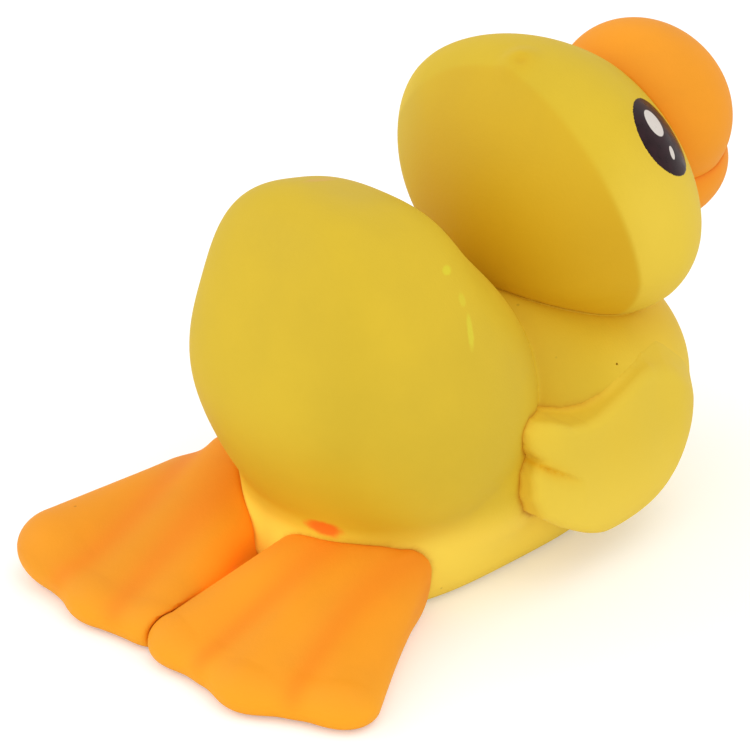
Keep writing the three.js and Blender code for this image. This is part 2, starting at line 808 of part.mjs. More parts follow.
function makeDial() {
  const inner = dialOuter * dialTabInnerShare;
  const outer = dialOuter * dialTabOuterShare;
  const tabAngle = windowAngle / 2 + (360 / windowCount - windowAngle) / 2;
  const tab = block(
    dialTabWidth,
    outer - inner,
    dialBottom - dialTabHeight,
    dialBottom + cutOverrun,
    tabAngle,
    (inner + outer) / 2,
  );
  return post(dialOuter, dialBottom, dialTop)
    .add(tab)
    .subtract(windows(dialBottom - cutOverrun, dialTop + cutOverrun))
    .subtract(post(pivotWidth / 2 + seatGap, dialBottom - cutOverrun, dialTop + cutOverrun));
}

function makeGasket() {
  return tube(flangeOuter, hubOuter + seatGap, gasketBottom, gasketTop).subtract(
    screwHoles(gasketBottom - cutOverrun, gasketTop + cutOverrun),
  );
}

// Colours and finishes.
const yellow = { color: 0xdabd38, roughness: 0.62, metalness: 0 };
const orange = { color: 0xf59a28, roughness: 0.58, metalness: 0 };
const black = { color: 0x1c1416, roughness: 0.15, metalness: 0 };
const white = { color: 0xe9ebea, roughness: 0.45, metalness: 0 };
const blue = { color: 0x2f6fb4, roughness: 0.45, metalness: 0 };
const rubber = { color: 0x2b2d30, roughness: 0.8, metalness: 0 };
const clear = { color: 0xc9d3d2, roughness: 0.35, metalness: 0 };
const steel = { color: 0xb9bcc0, roughness: 0.3, metalness: 1 };
const zinc = { color: 0x8f9499, roughness: 0.55, metalness: 1 };

const pieces = [
  ["body_shell", yellow, makeBody()],
  ["head_shell", yellow, makeHead()],
  ["neck_ring", white, tube(neckWidth / 2, neckWidth / 2 - neckWall, neckLow, neckHigh, neckPlace)],
  ["upper_bill", orange, makeBill()],
  ["lower_bill", orange, makeJaw()],
  ["right_eye", black, makeEye(1)],
  ["left_eye", black, makeEye(-1)],
  ["right_wing", yellow, makeWing(1)],
  ["left_wing", yellow, makeWing(-1)],
  ["right_foot", orange, makeFoot(rightToes, 1)],
  ["left_foot", orange, makeFoot(leftToes, -1).subtract(footSkin(rightToes, seatGap))],
  ["tablet_cup", white, makeCup()],
  ["cup_gasket", rubber, makeGasket()],
  ["tablet_basket", white, makeBasket()],
  ["lock_cap", blue, makeLockCap()],
  ["vent_dial", white, makeDial()],
  ["pivot_screw", steel, screw(pivotWidth, pivotHeadWidth, pivotReach, chamber)],
  [
    "front_ballast",
    zinc,
    crescent(frontBallast, 90).intersect(bodyRoom).subtract(ballastPost(frontBallast, 1, seatGap)),
  ],
  [
    "rear_ballast",
    zinc,
    crescent(rearBallast, 270).intersect(bodyRoom).subtract(ballastPost(rearBallast, -1, seatGap)),
  ],
  ["vent_hose", clear, makeHose().intersect(bodyRoom)],
  ...screwPlaces.map((place, i) => [
    `cup_screw_${i + 1}`,
    steel,
    screw(screwWidth, screwHeadWidth, screwTop, place),
  ]),
];

const dispenser = new THREE.Group();
dispenser.name = "dispenser";
for (const [name, finish, shape] of pieces) {
  const cut = shape.getMesh();
  const geometry = new THREE.BufferGeometry();
  geometry.setAttribute("position", new THREE.BufferAttribute(cut.vertProperties, 3));
  geometry.setIndex(new THREE.BufferAttribute(cut.triVerts, 1));
  const mesh = new THREE.Mesh(geometry, new THREE.MeshStandardMaterial(finish));
  mesh.name = name;
  dispenser.add(mesh);
}

// The origin goes to the middle of the model's own footprint, on the floor.
const box = new THREE.Box3().setFromObject(dispenser);
const middle = box.getCenter(v(0, 0, 0));
dispenser.position.set(-middle.x, -middle.y, -box.min.z);

export default dispenser;
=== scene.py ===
"""A floating chlorine dispenser in the form of a swimming duck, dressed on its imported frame.

Places are written in millimetres on the axes of the part's source: x = 0 is the duck's middle plane and the
tablet chamber stands at CHAMBER_Y. They become metres on the frame's axes when a mesh is made.
Each soft piece is the surface of a rule: a few rounded lumps that run into each other.
"""

import math

import bmesh
import bpy
import numpy as np
from mathutils import Matrix, Vector


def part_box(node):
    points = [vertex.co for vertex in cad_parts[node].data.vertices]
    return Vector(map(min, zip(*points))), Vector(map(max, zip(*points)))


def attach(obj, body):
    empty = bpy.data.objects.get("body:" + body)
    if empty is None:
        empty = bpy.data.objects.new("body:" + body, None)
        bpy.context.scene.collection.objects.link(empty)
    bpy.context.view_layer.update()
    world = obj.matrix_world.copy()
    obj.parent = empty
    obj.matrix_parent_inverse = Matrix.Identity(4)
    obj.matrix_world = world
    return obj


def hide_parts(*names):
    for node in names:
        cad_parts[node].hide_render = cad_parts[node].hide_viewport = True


bl_info = {
    "name": "Floating duck dispenser",
    "version": (1, 0, 0),
    "blender": (4, 5, 0),
    "location": "3D View > Sidebar > Dispenser",
    "description": "Builds the skins, fittings and finishes of a floating chlorine dispenser",
    "category": "Object",
}

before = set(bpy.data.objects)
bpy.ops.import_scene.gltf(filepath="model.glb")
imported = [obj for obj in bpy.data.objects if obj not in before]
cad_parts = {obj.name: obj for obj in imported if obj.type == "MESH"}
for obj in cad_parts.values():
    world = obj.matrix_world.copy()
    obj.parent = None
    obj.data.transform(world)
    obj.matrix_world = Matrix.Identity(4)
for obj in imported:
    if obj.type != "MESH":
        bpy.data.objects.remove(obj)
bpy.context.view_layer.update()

MM = 0.001
CHAMBER_Y = 128
CUP_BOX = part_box("tablet_cup")
ORIGIN = np.array([(CUP_BOX[0].x + CUP_BOX[1].x) / 2, (CUP_BOX[0].y + CUP_BOX[1].y) / 2 - CHAMBER_Y * MM, 0])
HANDS = ((1, "right"), (-1, "left"))


# ---------------------------------------------------------------- rules of the soft forms, in millimetres
def turned(pitch, yaw, roll=0):
    """The axes of a form that is rolled, then pitched, then swung, in degrees."""
    a, b, c = math.radians(pitch), math.radians(roll), math.radians(yaw)
    lean = np.array([[math.cos(b), 0, math.sin(b)], [0, 1, 0], [-math.sin(b), 0, math.cos(b)]])
    tilt = np.array([[1, 0, 0], [0, math.cos(a), -math.sin(a)], [0, math.sin(a), math.cos(a)]])
    swing = np.array([[math.cos(c), -math.sin(c), 0], [math.sin(c), math.cos(c), 0], [0, 0, 1]])
    return swing @ tilt @ lean


def lump(centre, size, exponent=2.0, pitch=0, yaw=0, roll=0):
    """Distance from a rounded lump: an ellipsoid at exponent 2, boxier above it."""
    half, centre = np.array(size, float) / 2, np.array(centre, float)
    axes = turned(pitch, yaw, roll)

    def rule(p):
        shares = np.abs((p - centre) @ axes) / half
        reach = np.maximum((shares**exponent).sum(1) ** (1 / exponent), 1e-6)
        slopes = (np.maximum(shares, 1e-9) / reach[:, None]) ** (exponent - 1) / half
        return (reach - 1) / np.maximum(np.sqrt((slopes**2).sum(1)), 1e-9)

    return rule


def bar(start, end, start_width, end_width, flat, drop=3.0):
    """A round bar, flattened above its axis and drawn down to the floor below it."""
    start, run = np.array(start, float), np.subtract(end, start)
    squared = run[0] ** 2 + run[1] ** 2

    def rule(p):
        local = p - start
        share = np.clip((local[:, 0] * run[0] + local[:, 1] * run[1]) / squared, 0, 1)
        radius = (start_width + (end_width - start_width) * share) / 2
        local = local - share[:, None] * run
        depth = np.maximum((p[:, 2] - local[:, 2] + drop) / radius, 0.05)
        height = np.where(local[:, 2] > 0, local[:, 2] / flat, local[:, 2] / depth)
        return (np.sqrt(local[:, 0] ** 2 + local[:, 1] ** 2 + height**2) - radius) * flat

    return rule


def lower(a, b, radius):
    return np.minimum(a, b) - np.maximum(radius - np.abs(a - b), 0) ** 2 / (4 * radius)


def higher(a, b, radius):
    return np.maximum(a, b) + np.maximum(radius - np.abs(a - b), 0) ** 2 / (4 * radius)


def blend(radius, *rules):
    def rule(p):
        result = rules[0](p)
        for other in rules[1:]:
            result = lower(result, other(p), radius)
        return result

    return rule


def shared(radius, one, other):
    return lambda p: higher(one(p), other(p), radius)


def seated(radius, form, carrier, depth=0.0):
    """A form cut back by its carrier with a rolled rim, its foot a little under the carrier's skin."""
    return lambda p: higher(form(p), -carrier(p) - depth, radius)


def standing(radius, form):
    return lambda p: higher(form(p), -p[:, 2], radius)


# The first number of a blend is how far the lumps run into each other.
RUMP = blend(
    30,
    lump((0, 83.9, 70.6), (124.3, 110.4, 111.7), 2, -9.5),
    lump((0, 62, 108.8), (89.5, 65, 86.2), 2.9, -13.1),
)
BREAST = lump((0, 160.5, 51.6), (130.1, 127.1, 96.9), 1.94)
KEEL = blend(8, lump((0, 116, 26), (93.3, 152, 68), 3.2), lump((0, 104, 42), (114, 70, 70), 2.2))
BODY = blend(6, blend(1.5, RUMP, BREAST), KEEL)

HEAD_PITCH, HEAD_ROLL, BILL_PITCH = 13, 15.7, 20.6
HEAD_CENTRE = np.array([1, 169.6, 127.7])
AHEAD, RISE = turned(HEAD_PITCH, 0)[:, 1:].T


def on_head(ahead, rise, aside=0.0):
    return HEAD_CENTRE + AHEAD * ahead + RISE * rise + np.array([aside, 0, 0])


# A wide ball cuts the skull to the flat of the nape. Its edge lies in the plane named last.
NAPE_WIDTH, NAPE_DEPTH = 190.3, 41.9
NAPE_PLACE, NAPE_NORMAL = np.array([39.3, 152, 143.1]), np.array([0.126, 0.965, 0.231])
SKULL = lump(HEAD_CENTRE, (134.4, 93.2, 104.5), 1.78, HEAD_PITCH, 0, HEAD_ROLL)
NAPE = lump(on_head(NAPE_WIDTH / 2 - NAPE_DEPTH, -20.5, -3.8), [NAPE_WIDTH] * 3)
HEAD = blend(5, shared(1.6, SKULL, NAPE), lump(on_head(-3.7, 47.5), (12, 12, 12)))
BILL = lump(on_head(53.9, 0.5), (72.2, 60.4, 69.6), 2, BILL_PITCH)
JAW = lump(on_head(52.5, -22.8), (62.9, 62, 45.4), 2, HEAD_PITCH)

# A wing seen from its side, as (y, z) points: two blunt feather ends at the rear, the shoulder in front.
WING_OUTLINE = [
    (100.5, 71), (105, 72.8), (113, 70.2), (121, 66.4), (128, 65.2), (135, 66), (141, 67.8), (147, 69.8),
    (152, 71.6), (158, 73.6), (164, 74), (172, 70), (182, 61), (196, 47), (199, 20), (160, 8), (140, 13),
    (128, 19.5), (113, 28.5), (105, 35), (101.5, 43), (102, 52), (105.5, 57.5), (101, 63), (99.5, 69),
]
WING_ROUNDING = 3.6

# The crease where the lower feather tucks under the upper one: a line in the same view that fades out in front.
CREASE_PLACE, CREASE_NORMAL = np.array([103, 58]), np.array([12, 18]) / 21.6
CREASE_END, CREASE_FADE = 124, 14


def outline_distance(p):
    """Signed distance from the wing's outline, in the side view."""
    nearest, inside = np.full(len(p), 1e9), np.zeros(len(p), bool)
    y, z = p[:, 1], p[:, 2]
    for (ya, za), (yb, zb) in zip(WING_OUTLINE, WING_OUTLINE[1:] + WING_OUTLINE[:1]):
        dy, dz = yb - ya, zb - za
        share = np.clip(((y - ya) * dy + (z - za) * dz) / (dy * dy + dz * dz), 0, 1)
        nearest = np.minimum(nearest, np.hypot(y - ya - share * dy, z - za - share * dz))
        if dz:
            inside ^= ((za > z) != (zb > z)) & (y < dy * (z - za) / dz + ya)
    return np.where(inside, -nearest, nearest)


def crease(p):
    """Height above the crease, and how strong it is there."""
    above = (p[:, 1:] - CREASE_PLACE) @ CREASE_NORMAL
    return above, np.clip((CREASE_END - p[:, 1]) / CREASE_FADE, 0, 1)


def whole_wing(hand):
    arm = lump((hand * 49, 163.3, 40.9), (32.8, 67.8, 56.6), 2.2, -20, 4 * hand)
    blade = blend(9, arm, lump((hand * 55, 137, 50), (26, 96, 76), 2.6, 0, 0, -6 * hand))

    def rule(p):
        above, strength = crease(p)
        tucked = 2.6 * np.exp(np.minimum(above, 0) / 7) * np.clip(0.5 - above, 0, 1)
        groove = np.exp(-np.abs(above) / 0.8)
        return higher(blade(p) + (tucked + groove) * strength, outline_distance(p), WING_ROUNDING)

    return rule


# Each toe: its root, its tip, and its width at either end.
TOES = {
    1: [
        ((16, 50, 25), (4, -9.1, 6), 30, 25.7),
        ((28, 56, 26), (40.3, -9.2, 6), 30, 25.3),
        ((35.3, 59.2, 20), (69.1, 7.5, 6), 25.3, 23.9),
    ],
    -1: [
        ((-34, 50, 24), (-11.3, -7.6, 6), 26, 23.7),
        ((-44.8, 57.7, 28.5), (-37.4, -13, 6), 32.2, 25.5),
        ((-60.4, 46, 15.9), (-67.2, -6.8, 11.9), 33, 34.8),
    ],
}
TOE_FLATNESS = 0.75
WEB_WIDTHS, WEB_FLATNESS, WEB_REACH, WEB_SUNK = (27, 23), 0.6, 0.97, np.array([0, 0, 4])
ANKLE_NICK = lump((42.5, 59, 38.5), (9, 24, 14))


def toe_rules(hand):
    return [bar(*toe, TOE_FLATNESS) for toe in TOES[hand]]


def foot_rule(hand):
    webs = []
    for (root, tip, *_), (next_root, next_tip, *_) in zip(TOES[hand], TOES[hand][1:]):
        start, end = np.add(root, next_root) / 2, np.add(tip, next_tip) / 2
        end = start + (end - start) * WEB_REACH - WEB_SUNK * 0.35
        webs.append(bar(start - WEB_SUNK, end, *WEB_WIDTHS, WEB_FLATNESS))
    foot = blend(8, *toe_rules(hand), *webs)
    return seated(2, foot, ANKLE_NICK) if hand > 0 else foot


WINGS = {hand: whole_wing(hand) for hand, side in HANDS}
FEET = {hand: foot_rule(hand) for hand, side in HANDS}


def reached(rule, start, ray, far=200.0):
    """Where a ray from inside a form leaves it."""
    inside, outside = 0.0, far
    for _ in range(40):
        middle = (inside + outside) / 2
        if rule((start + ray * middle)[None])[0] < 0:
            inside = middle
        else:
            outside = middle
    return start + ray * inside


def slope_of(rule, p, step=0.05):
    return np.stack([rule(p + s) - rule(p - s) for s in np.eye(3) * step], axis=1) / (2 * step)


def unit(vector):
    return vector / np.linalg.norm(vector)


# ---------------------------------------------------------------- surfaces of rules
CORNERS = np.array([[i & 1, i >> 1 & 1, i >> 2 & 1] for i in range(8)])
EDGES = [(i, i | 1 << axis) for axis in range(3) for i in range(8) if not i >> axis & 1]
SKIP = 4  # cells between the points of the rough grid


def in_parts(rule, p, size=150000):
    return np.concatenate([rule(p[i : i + size]) for i in range(0, len(p), size)]) if len(p) else np.zeros(0)


def surface(rule, low, high, cell, steps=3):
    """Points and four-sided faces where a rule is zero inside a box, pulled onto the true surface."""
    low, high = np.array(low, float), np.array(high, float)
    counts = np.ceil((high - low) / cell).astype(int) + 1
    rough = [np.arange(0, n + SKIP, SKIP) for n in counts]
    grid = np.stack(np.meshgrid(*rough, indexing="ij"), -1).reshape(-1, 3)
    guess = in_parts(rule, low + cell * grid).reshape([len(r) for r in rough])
    values = guess[np.ix_(*[(np.arange(n) + SKIP // 2) // SKIP for n in counts])]
    close = np.argwhere(np.abs(values) < cell * SKIP * 2.2)
    values[tuple(close.T)] = in_parts(rule, low + cell * close)

    inside = values < 0
    n = np.array(inside.shape)
    total = sum(inside[a : n[0] - 1 + a, b : n[1] - 1 + b, c : n[2] - 1 + c].astype(int) for a, b, c in CORNERS)
    mixed = (total > 0) & (total < 8)
    where = np.argwhere(mixed)
    name = np.full(mixed.shape, -1)
    name[tuple(where.T)] = np.arange(len(where))
    corner = np.stack([values[tuple((where + c).T)] for c in CORNERS], axis=1)
    place, hits = np.zeros((len(where), 3)), np.zeros(len(where))
    for i, j in EDGES:
        a, b = corner[:, i], corner[:, j]
        crossed = (a < 0) != (b < 0)
        share = np.where(crossed, a / np.where(crossed, a - b, 1), 0)
        place += np.where(crossed[:, None], CORNERS[i] + share[:, None] * (CORNERS[j] - CORNERS[i]), 0)
        hits += crossed
    place = low + cell * (where + place / hits[:, None])

    faces = []
    for axis in range(3):
        u, w = (axis + 1) % 3, (axis + 2) % 3
        first = inside.take(range(n[axis] - 1), axis)
        second = inside.take(range(1, n[axis]), axis)
        at = np.argwhere(first != second)
        at = at[(at[:, u] > 0) & (at[:, w] > 0) & (at[:, u] < n[u] - 1) & (at[:, w] < n[w] - 1)]
        step_u, step_w = np.eye(3, dtype=int)[u], np.eye(3, dtype=int)[w]
        quad = np.stack([name[tuple(p.T)] for p in (at, at - step_u, at - step_u - step_w, at - step_w)], axis=1)
        faces.append(np.where(first[tuple(at.T)][:, None], quad, quad[:, ::-1]))

    for _ in range(steps):
        value, slope = rule(place), slope_of(rule, place)
        move = value / np.maximum((slope**2).sum(1), 1e-6)
        place -= np.clip(move, -cell / 2, cell / 2)[:, None] * slope
    return place, np.concatenate(faces)


# ---------------------------------------------------------------- meshes and objects
def to_frame(p):
    return np.asarray(p, float) * MM + ORIGIN


def from_frame(obj):
    co = np.zeros(len(obj.data.vertices) * 3, np.float32)
    obj.data.vertices.foreach_get("co", co)
    return (co.reshape(-1, 3).astype(float) - ORIGIN) / MM


def link(name, data):
    obj = bpy.data.objects.new(name, data)
    bpy.context.scene.collection.objects.link(obj)
    return obj


def from_points(name, places, edges, faces):
    mesh = bpy.data.meshes.new(name)
    mesh.from_pydata(to_frame(places).tolist(), edges, faces)
    mesh.update()
    return link(name, mesh)


def from_shape(name, shape):
    mesh = bpy.data.meshes.new(name)
    shape.to_mesh(mesh)
    shape.free()
    return link(name, mesh)


def skin(name, rule, low, high, cell):
    """A closed mesh object on the surface of a rule."""
    places, faces = surface(rule, low, high, cell)
    return from_points(name, places, [], faces.tolist())


def rod(width, start, end, sides):
    """A closed round rod between two points, for cutting."""
    start, end = Vector(to_frame(start)), Vector(to_frame(end))
    run, radius = end - start, width / 2 * MM
    shape = bmesh.new()
    bmesh.ops.create_cone(shape, cap_ends=True, segments=sides, radius1=radius, radius2=radius, depth=run.length)
    turn = run.to_track_quat("Z", "Y").to_matrix().to_4x4()
    turn.translation = (start + end) / 2
    shape.transform(turn)
    return from_shape("rod", shape)


def post(radius, bottom, top, y=CHAMBER_Y, x=0.0, sides=96):
    return rod(radius * 2, (x, y, bottom), (x, y, top), sides)


def applied(obj):
    """Keeps what a piece's modifier makes as its own mesh."""
    mesh = bpy.data.meshes.new_from_object(obj.evaluated_get(bpy.context.evaluated_depsgraph_get()))
    obj.modifiers.clear()
    mesh.name = obj.name
    obj.data = mesh
    return obj


def cut(obj, tool, operation="DIFFERENCE"):
    """Cuts or joins a solid with another, which is used up."""
    before = len(obj.data.vertices), len(obj.data.polygons)
    modifier = obj.modifiers.new("cut", "BOOLEAN")
    modifier.operation, modifier.solver, modifier.object = operation, "MANIFOLD", tool
    applied(obj)
    if not obj.data.vertices or before == (len(obj.data.vertices), len(obj.data.polygons)):
        raise RuntimeError(f"{obj.name} was not changed by {operation}")
    bpy.data.objects.remove(tool)
    return obj


def note(obj, **masks):
    """Keeps the strongest of some masks at each point of a piece, under the name that its material reads."""
    flat = np.zeros(len(obj.data.vertices))
    for name, parts in masks.items():
        values = np.max(np.broadcast_arrays(flat, *parts), axis=0)
        layer = obj.data.attributes.new(name, "FLOAT", "POINT")
        layer.data.foreach_set("value", np.clip(values, 0, 1).astype(np.float32))


def near(distance, reach):
    return np.exp(-np.maximum(distance, 0) / reach)


def ramp(value, start, end):
    share = np.clip((value - start) / (end - start), 0, 1)
    return share * share * (3 - 2 * share)


# ---------------------------------------------------------------- sizes and colours that a user would change
def linear(code):
    parts = [int(code[i : i + 2], 16) / 255 for i in (0, 2, 4)]
    return [p / 12.92 if p <= 0.04045 else ((p + 0.055) / 1.055) ** 2.4 for p in parts]


def length_of(name, description, default):
    return bpy.props.FloatProperty(name=name, description=description, default=default, min=0, unit="LENGTH")


def colour_of(name, description, code):
    return bpy.props.FloatVectorProperty(
        name=name, description=description, default=linear(code), subtype="COLOR", min=0, max=1
    )


class DispenserSizes(bpy.types.PropertyGroup):
    """Sizes of the skins and fittings."""

    wall: length_of("Shell wall", "Thickness of the blown vinyl shells", 0.0026)
    skin_cell: length_of("Skin detail", "Side of a face on the soft skins", 0.00118)
    seam_roll: length_of("Seam roll", "How far the rims at the seams are rolled in", 0.0025)
    seat_depth: length_of("Seat depth", "How far a piece's foot sits under its carrier's skin", 0.0008)
    eye_dome: length_of("Eye dome", "How far the middle of an eye stands proud", 0.0009)
    flash: length_of("Flash", "Thickness of the flash bead along the neck seam", 0.0008)
    pinhole: length_of("Vent pinhole", "Width of the vent hole behind the shoulder", 0.0009)


class DispenserColours(bpy.types.PropertyGroup):
    """Colours of the vinyl, the fittings and the floor."""

    yellow: colour_of("Body yellow", "Vinyl of the body, head and wings", "d7b62c")
    # Painted shade: the colour mixed in where shade falls in hollows, creases and near other pieces.
    warm_shade: colour_of("Warm yellow", "Vinyl in the hollows, where more paint has gathered", "d19f0a")
    # Paint in the seams, together with the shade painted along them.
    ochre: colour_of("Seam ochre", "Paint in the yellow seams", "c4880f")
    # Painted light: the colour mixed in low on the hull and on lit sides.
    glow: colour_of("Bright yellow", "Vinyl low on the hull, where the paint is thin", "fbda50")
    orange: colour_of("Bill orange", "Vinyl of the bill and feet", "f39c20")
    # Painted shade on the orange pieces: between the toes and where the feet face each other.
    orange_shade: colour_of("Deep orange", "Paint gathered between the toes", "f3780e")
    eye: colour_of("Eye", "Dark of the eyes", "2a1419")
    eye_light: colour_of("Eye highlight", "Printed highlights of the eyes", "d8cfc6")
    white: colour_of("White plastic", "Cup, basket and dial", "e4e6e4")
    blue: colour_of("Blue plastic", "Lock cap", "2f6fb4")
    floor: colour_of("Floor", "Plain floor", "f4f4f2")


def lengths(*names):
    """Lengths of the panel, in millimetres."""
    return [getattr(bpy.context.scene.dispenser_sizes, name) / MM for name in names]


def colours():
    return bpy.context.scene.dispenser_colours


def shaded(colour, share):
    return [min(1, c * share) for c in colour]


# ---------------------------------------------------------------- nodes
SOCKETS = {int: "Int", float: "Float", tuple: "Vector"}


def fill(tree, node, inputs):
    """Links or fills a node's inputs."""
    for key, value in inputs.items():
        socket = node.inputs[key]
        if isinstance(value, bpy.types.NodeSocket):
            tree.links.new(value, socket)
        else:
            socket.default_value = (*value[:3], 1) if socket.type == "RGBA" else value
    return node


def add(tree, kind, inputs, **settings):
    node = tree.nodes.new(kind)
    for key, value in settings.items():
        setattr(node, key, value)
    return fill(tree, node, inputs)


def node_group(kind, name, inputs, outputs, build):
    """A node group, built once; an input is given by its default, or by its kind where it has none."""
    group = bpy.data.node_groups.get(name)
    if group:
        return group
    group = bpy.data.node_groups.new(name, kind)
    for label, value in inputs.items():
        socket_kind = "NodeSocket" + (value if isinstance(value, str) else SOCKETS[type(value)])
        socket = group.interface.new_socket(name=label, in_out="INPUT", socket_type=socket_kind)
        if not isinstance(value, str):
            socket.default_value = value
    socket_kind = "NodeSocketGeometry" if kind == "GeometryNodeTree" else "NodeSocketFloat"
    for label in outputs:
        group.interface.new_socket(name=label, in_out="OUTPUT", socket_type=socket_kind)
    source, target = group.nodes.new("NodeGroupInput"), group.nodes.new("NodeGroupOutput")
    fill(group, target, build(group, source.outputs))
    return group


def maths(tree, operation, *values):
    return add(tree, "ShaderNodeMath", dict(enumerate(values)), operation=operation).outputs[0]


def between(tree, value, low, high):
    inputs = {"Value": value, "From Min": low, "From Max": high}
    return add(tree, "ShaderNodeMapRange", inputs, interpolation_type="SMOOTHSTEP").outputs["Result"]


def tint(tree, share, a, b):
    return add(tree, "ShaderNodeMix", {0: share, 6: a, 7: b}, data_type="RGBA").outputs[2]


def noise(tree, vector, scale, detail, roughness=0.5):
    inputs = {"Vector": vector, "Scale": scale, "Detail": detail, "Roughness": roughness}
    return add(tree, "ShaderNodeTexNoise", inputs).outputs["Fac"]


def attribute(tree, name):
    return add(tree, "ShaderNodeAttribute", {}, attribute_name=name).outputs["Fac"]


def bump(tree, height, distance):
    inputs = {"Height": height, "Distance": distance, "Strength": 1.0}
    return add(tree, "ShaderNodeBump", inputs).outputs["Normal"]


def moulded(tree, vector, broad=18.0, grain=900.0, specks=0.03):
    """Broad mottling, fine pebbling and rare specks of a moulded skin."""

    def build(tree, source):
        vector = source["Vector"]
        pits = add(tree, "ShaderNodeTexVoronoi", {"Vector": vector, "Scale": source["Speck Scale"], "Randomness": 1.0})
        chance = add(tree, "ShaderNodeSeparateColor", {"Color": pits.outputs["Color"]}).outputs[0]
        rare = maths(tree, "LESS_THAN", chance, source["Speck Share"])
        return {
            "Mottle": between(tree, noise(tree, vector, source["Broad Scale"], 4.0), 0.3, 0.7),
            "Grain": noise(tree, vector, source["Grain Scale"], 5.0, 0.6),
            "Speck": maths(tree, "MULTIPLY", between(tree, pits.outputs["Distance"], 0.07, 0.03), rare),
        }

    inputs = {"Vector": "Vector", "Broad Scale": 18.0, "Grain Scale": 900.0, "Speck Scale": 90.0, "Speck Share": 0.03}
    group = node_group("ShaderNodeTree", "Moulded skin", inputs, ("Mottle", "Grain", "Speck"), build)
    inputs = {"Vector": vector, "Broad Scale": broad, "Grain Scale": grain, "Speck Share": specks}
    return add(tree, "ShaderNodeGroup", inputs, node_tree=group).outputs


def ragged(tree, vector, mask, scale, amount, low, high):
    """Turns a soft mask into one with a worn, uneven edge."""

    def build(tree, source):
        wave = noise(tree, source["Vector"], source["Scale"], 5.0, 0.65)
        shift = maths(tree, "MULTIPLY", maths(tree, "SUBTRACT", wave, 0.5), source["Amount"])
        return {"Mask": between(tree, maths(tree, "ADD", source["Mask"], shift), source["Low"], source["High"])}

    inputs = {"Vector": "Vector", "Mask": 0.0, "Scale": 150.0, "Amount": 0.5, "Low": 0.2, "High": 0.8}
    group = node_group("ShaderNodeTree", "Ragged paint", inputs, ("Mask",), build)
    inputs = {"Vector": vector, "Mask": mask, "Scale": scale, "Amount": amount, "Low": low, "High": high}
    return add(tree, "ShaderNodeGroup", inputs, node_tree=group).outputs["Mask"]


def spot(tree, vector, place, size, core, turn=(0.0, 0.0, 0.0)):
    """A soft oval mark round a place."""

    def build(tree, source):
        away = add(tree, "ShaderNodeVectorMath", {0: source["Vector"], 1: source["Place"]}, operation="SUBTRACT")
        inputs = {"Vector": away.outputs[0], "Rotation": source["Turn"]}
        away = add(tree, "ShaderNodeVectorRotate", inputs, rotation_type="EULER_XYZ", invert=True)
        share = add(tree, "ShaderNodeVectorMath", {0: away.outputs[0], 1: source["Size"]}, operation="DIVIDE")
        length = add(tree, "ShaderNodeVectorMath", {0: share.outputs[0]}, operation="LENGTH").outputs["Value"]
        return {"Mask": between(tree, length, 1.0, source["Core"])}

    inputs = {"Vector": "Vector", "Place": "Vector", "Turn": (0.0, 0.0, 0.0), "Size": (0.01, 0.01, 0.01), "Core": 0.2}
    group = node_group("ShaderNodeTree", "Spot", inputs, ("Mask",), build)
    inputs = {"Vector": vector, "Place": place, "Turn": turn, "Size": size, "Core": core}
    return add(tree, "ShaderNodeGroup", inputs, node_tree=group).outputs["Mask"]


# ---------------------------------------------------------------- materials
def material_of(name, build):
    """A material, made once; build gives the inputs of its shader."""
    material = bpy.data.materials.get(name)
    if material:
        return material
    material = bpy.data.materials.new(name)
    material.use_nodes = True
    tree = material.node_tree
    vector = tree.nodes.new("ShaderNodeTexCoord").outputs["Object"]
    fill(tree, tree.nodes["Principled BSDF"], build(tree, vector))
    return material


def vinyl(name, base, warm_shade, gathered, painted_light_colour, marks):
    """Matt blown vinyl: a soft mottle, a fine pebble, painted shade in hollows and creases, painted light low on the
    hull and on lit sides, paint and painted shade in the seams, rare specks.

    A painted glow, given off as emission, lightens the places where pieces stand close together.
    """

    def build(tree, vector):
        look = moulded(tree, vector)
        colour = tint(tree, look["Mottle"], shaded(base, 0.95), shaded(base, 1.05))
        # Painted light and painted shade, each from the piece's own mask.
        colour = tint(tree, attribute(tree, "glow"), colour, painted_light_colour)
        colour = tint(tree, attribute(tree, "tone"), colour, warm_shade)
        # Paint in the seams, together with the shade painted along them.
        seam = ragged(tree, vector, attribute(tree, "seam"), 240.0, 0.45, 0.15, 1.1)
        colour = tint(tree, seam, colour, gathered)
        for place, size, turn, core, code, amount in marks:
            size, turn = tuple(np.multiply(size, MM)), tuple(np.radians(turn))
            mark = spot(tree, vector, tuple(to_frame(place)), size, core, turn)
            mark = ragged(tree, vector, mark, 200.0, 0.8, 0.15, 0.8)
            colour = tint(tree, maths(tree, "MULTIPLY", mark, amount), colour, linear(code))
        colour = tint(tree, maths(tree, "MULTIPLY", look["Speck"], 0.3), colour, shaded(gathered, 0.35))
        return {
            "Base Color": colour,
            # A painted glow: emission where pieces stand close together.
            "Emission Color": tint(tree, attribute(tree, "lit"), [0, 0, 0], colour),
            "Emission Strength": 0.4,
            "Roughness": maths(tree, "MULTIPLY_ADD", look["Mottle"], 0.1, 0.55),
            "Specular IOR Level": 0.2,
            "Normal": bump(tree, look["Grain"], 0.00007),
        }

    return material_of(name, build)


